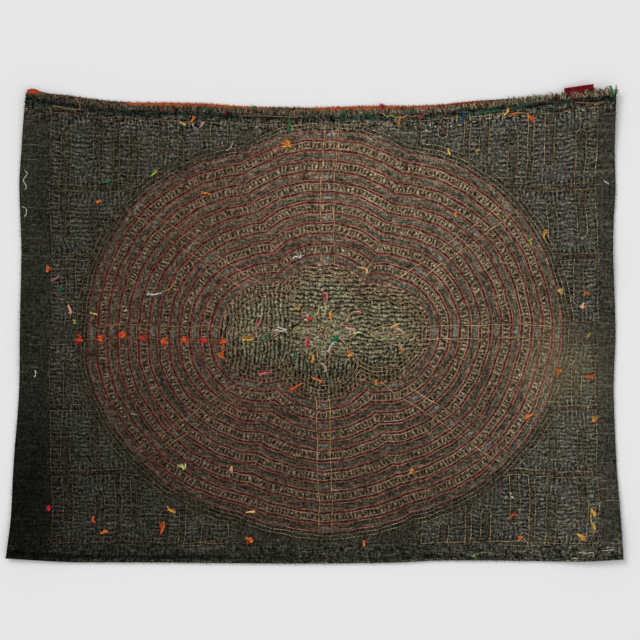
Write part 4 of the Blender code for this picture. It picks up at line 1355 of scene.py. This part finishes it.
def tube(path, radius):
    """A closed round strand along a path: its vertices and faces."""
    sides = STRAND_SIDES
    beside, over = frames(path)
    angle = np.arange(sides) * math.tau / sides
    ring = np.cos(angle)[None, :, None] * beside[:, None] + np.sin(angle)[None, :, None] * over[:, None]
    vertices = (path[:, None] + radius * ring).reshape(-1, 3)
    faces = [list(range(sides))[::-1], [len(vertices) - sides + n for n in range(sides)]]
    for row in range(len(path) - 1):
        for n in range(sides):
            a, b = row * sides + n, row * sides + (n + 1) % sides
            faces.append([a, b, b + sides, a + sides])
    return vertices, faces


def strand_lines(rows, rng):
    """Each strand of some thread ends: its colour, its places on the cloth and its hops off it."""
    for x, y, kind, colours, size, heading in rows:
        path = strand_path(rng, kind, size, heading)
        count = len(colours) * (2 if kind == "fork" else 1)
        for number in range(count):
            angle = math.radians(STRANDS[kind].spread * (number - (count - 1) / 2) + rng.uniform(-5, 5))
            turn = np.array(((math.cos(angle), math.sin(angle)), (-math.sin(angle), math.cos(angle))))
            start = (x + rng.uniform(-0.3, 0.3), y + rng.uniform(-0.3, 0.3))
            places = path[:, :2] @ turn * rng.uniform(0.8, 1.1) + start
            yield colours[number % len(colours)], places, path[:, 2]


def trail_lines():
    """Each long loose thread, as a strand that lies close on the cloth."""
    for colour, *points in TRAILS:
        points = np.array(points)
        length = np.linalg.norm(np.diff(points, axis=0), axis=1).sum()
        places = smoothed(points, int(length / STRAND_STEP) + 2)
        yield colour, places, 0.3 + lumps(places, 4.0, 0.4, 2.0)


def strands(name, lines, material, radius, seed):
    """Twisted strands that lie on the cloth, as one mesh with their colours."""
    rng = random.Random(seed)
    vertices, faces, tints = [], [], []
    for letter, places, hops in lines(rng):
        path = np.column_stack((places, height_at(places) + radius * 1.4 + hops))
        for ply in plies(path, radius, rng.uniform(0, math.tau)):
            made, sides = tube(ply, radius)
            faces += [[corner + len(vertices) for corner in face] for face in sides]
            vertices += made.tolist()
            shade = rng.uniform(0.75, 1.08)
            colour = rgb(*(min(255, value * shade) for value in ENDS_COLOURS[letter]))
            tints += [colour] * len(made)
    mesh = mesh_of(name, vertices, faces)
    attribute = mesh.attributes.new("tint", "FLOAT_COLOR", "POINT")
    attribute.data.foreach_set("color", np.array(tints).ravel())
    return link_piece(name, mesh, material)


def floor():
    """A pale floor under the panel, with painted shade that makes it a little darker towards the upper left,
    where the key lamp lights it most.
    """
    half = 8.0
    mesh = bpy.data.meshes.new("floor")
    corners = [(-half, -half, 0), (half, -half, 0), (half, half, 0), (-half, half, 0)]
    mesh.from_pydata(corners, [], [(0, 1, 2, 3)])
    paint = Dye("floor_paint", roughness=0.9)
    # Painted shade: the floor's colour darkens towards the key lamp, to even out its light
    lit = paint.split(paint.place, 0) - paint.split(paint.place, 1)
    material = paint.finish(paint.tint(paint.fade(lit, -0.45, 0.3), rgb(225, 225, 225), rgb(231, 231, 231)))
    piece = link_piece("floor", mesh, material)


def camera():
    """The photograph's view: straight down from above the panel, with a long lens."""
    across, up = 3.8 * MM, 2.7 * MM
    lens, sensor, picture = 100.0, 36.0, 437.0 * MM
    data = bpy.data.cameras.new("camera")
    data.lens = lens
    data.sensor_width = sensor
    item = bpy.data.objects.new("camera", data)
    item.location = (across, up, picture * lens / sensor)
    bpy.context.scene.collection.objects.link(item)
    bpy.context.scene.camera = item


def soft_light(name, place, size, power):
    """A large square lamp that faces the panel."""
    data = bpy.data.lights.new(name, "AREA")
    data.shape = "SQUARE"
    data.size = size
    data.energy = power
    item = bpy.data.objects.new(name, data)
    item.location = place
    item.rotation_euler = (-Vector(place)).to_track_quat("-Z", "Y").to_euler()
    bpy.context.scene.collection.objects.link(item)


def studio():
    """Soft light from above, stronger from the upper left, in a pale room."""
    world = bpy.data.worlds.new("room")
    bpy.context.scene.world = world
    world.use_nodes = True
    room = world.node_tree.nodes["Background"]
    room.inputs["Color"].default_value = (1, 1, 1, 1)
    room.inputs["Strength"].default_value = 0.5
    soft_light("key", (-1.5, 1.7, 3.0), 2.0, 74.0)
    soft_light("fill", (1.8, -1.6, 3.0), 2.4, 29.0)
    bpy.context.scene.view_settings.view_transform = "Standard"


def surfaced(lines, placed):
    """Sewing lines laid on the cloth's surface; placed turns a line's points to places on the panel."""
    laid = []
    for number, line in enumerate(lines):
        places = placed(line)
        places = places + np.stack([lumps(places, 9.0, 0.42, number * 2.3 + axis) for axis in (0, 50)], -1)
        laid.append(np.column_stack((places, height_at(places))))
    return laid


def beside_edge(edge, inwards, start=0.0, end=1.0):
    """A part of the cloth's edge, drawn in by some millimetres, between two shares of its length."""
    count = len(edge) - 1
    line = edge[round(start * count) : round(end * count) + 1]
    way = np.gradient(line, axis=0)
    way /= np.linalg.norm(way, axis=1)[:, None]
    return line + inwards * np.column_stack((-way[:, 1], way[:, 0]))


def fringe_line(edge, shares, over, inwards=0.0):
    """The cloth's edge as a line for fibres, with their share of length along it."""
    share = np.interp(np.linspace(0, 1, len(edge)), *zip(*shares))
    line = beside_edge(edge, -inwards)
    return np.column_stack((line, BACK_UNDERSIDE + lift(line) + over, share))


def fibre_piece(name, lines, material, seed, pitch, longest, fibre, turn):
    """A piece of loose fibres along lines."""
    sizes = {"Pitch": pitch * MM, "Longest": longest * MM, "Fibre": fibre, "Turn": turn}
    return grown(name, lines, fibres, material, seed, sizes)


# The cloths
back, grid, height = quilted_back()
front, front_top = front_cloth()
tape = tape_end()
height_at = surface_height(grid, height)

# The sewing: each run's sizes in millimetres, its turn in radians and its seed
stitches = stitch_tree()
top_edge, low_edge, left_edge, right_edge = grid[-1], grid[0], grid[:, 0], grid[:, -1]
green_lines = [beside_edge(top_edge, -GREEN_INSET, *span) for span in GREEN_SPANS]
margin_lines = [beside_edge(top_edge, -MARGIN_INSET, *MARGIN_SPAN)]
red = thread_cotton("red_thread_finish", rgb(186, 98, 94), rgb(198, 124, 114), rgb(152, 62, 68))
pink = thread_cotton("faded_thread_finish", rgb(172, 132, 110), rgb(190, 158, 132), rgb(134, 92, 78))
tan = thread_cotton("tan_thread_finish", rgb(162, 134, 102), rgb(188, 168, 132), rgb(126, 106, 80))
ochre = thread_cotton("spoke_thread_finish", rgb(180, 140, 102), rgb(202, 166, 124), rgb(146, 108, 78))
green = thread_cotton("green_thread_finish", rgb(14, 34, 26), rgb(22, 104, 76), rgb(16, 60, 44))
Run = namedtuple("Run", "name lines placed material slot pitch length thread arch shift turn seed")
RUNS = [
    Run("red_seams", RED_SEAMS, sewn, red, "red_thread", PITCH, 2.6, 0.48, 0.22, 0.15, 0.1, 11),
    Run("tan_ring_rows", TAN_RINGS, sewn, pink, "tan_thread", PITCH, 2.3, 0.5, 0.2, 0.2, 0.12, 23),
    Run("tan_block_rows", BLOCK_ROWS, sewn, tan, "tan_thread", 2.1, 1.6, 0.44, 0.22, 0.2, 0.14, 37),
    Run("tan_spokes", SPOKE_ROWS, sewn, ochre, "tan_thread", PITCH, 2.6, 0.6, 0.3, 0.15, 0.08, 41),
    Run("green_running", green_lines, np.asarray, green, "green_thread", 3.8, 3.6, 0.6, 0.3, 0.3, 0.2, 53),
    Run("margin_rows", margin_lines, np.asarray, tan, "tan_thread", 2.3, 1.6, 0.42, 0.2, 0.3, 0.2, 61),
]
sewing = []
for run in RUNS:
    sizes = {name.title(): getattr(run, name) * MM for name in ("pitch", "length", "thread", "arch", "shift")}
    sizes["Turn"] = run.turn
    piece = grown(run.name, surfaced(run.lines, run.placed), stitches, run.material, run.seed, sizes)
    sewing.append(piece)

# The fibres: pitch and greatest length in millimetres, thickness as a share, and turn in radians
fibres = fibre_tree()
top_lines = [fringe_line(top_edge, TOP_SHARES, *root) for root in ((0.5, 0.3), (1.0, 1.2), (1.4, 2.2))]
top_cotton = fray_cotton("frayed_top_finish", TOP_COLOURS)
fringe = fibre_piece("frayed_top", top_lines, top_cotton, 71, 0.3, 3.6, 0.14, 0.75)
front_line = fringe_line(front_top, FRONT_SHARES, 0.0, 0.6)
front_line[:, 2] += FACE_TOP - BACK_UNDERSIDE
front_lines = [front_line, front_line + (0.0, 0.0, 0.25, 0.0)]
orange_edge = fibre_piece("front_edge_fibres", front_lines, front.data.materials[0], 97, 0.34, 2.4, 0.16, 0.7)
nap_lines = [fringe_line(edge, EVEN_SHARES, 0.6) for edge in (left_edge, right_edge[::-1])]
nap_lines += [fringe_line(low_edge[::-1], EVEN_SHARES, over, over) for over in (0.4, 0.8, 1.2)]
nap = fibre_piece("edge_nap", nap_lines, fray_cotton("edge_nap_finish", LOW_COLOURS), 83, 1.1, 1.5, 0.09, 0.9)

# The thread ends, loose threads and lint
ends = ends_cotton()
bright_ends = ENDS + knots_row() + flower_ends()
tufts = strands("thread_ends", lambda rng: strand_lines(bright_ends, rng), ends, radius=0.27, seed=5)
trails = strands("loose_threads", lambda rng: trail_lines(), ends, radius=0.15, seed=7)
lint = strands("white_lint", lambda rng: strand_lines(LINT, rng), ends, radius=0.14, seed=9)

# What each piece rides on, and the solids that the pieces stand for, which are hidden
for piece in [back, front, tape, fringe, orange_edge, nap, tufts, trails, lint] + sewing:
    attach(piece, ROOT)
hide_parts("back_cloth")
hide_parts("face_cloth")
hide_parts("red_scrap")
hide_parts("top_fray")
on_back = sewing + [fringe, nap, tufts, trails, lint]
floor()
camera()
studio()
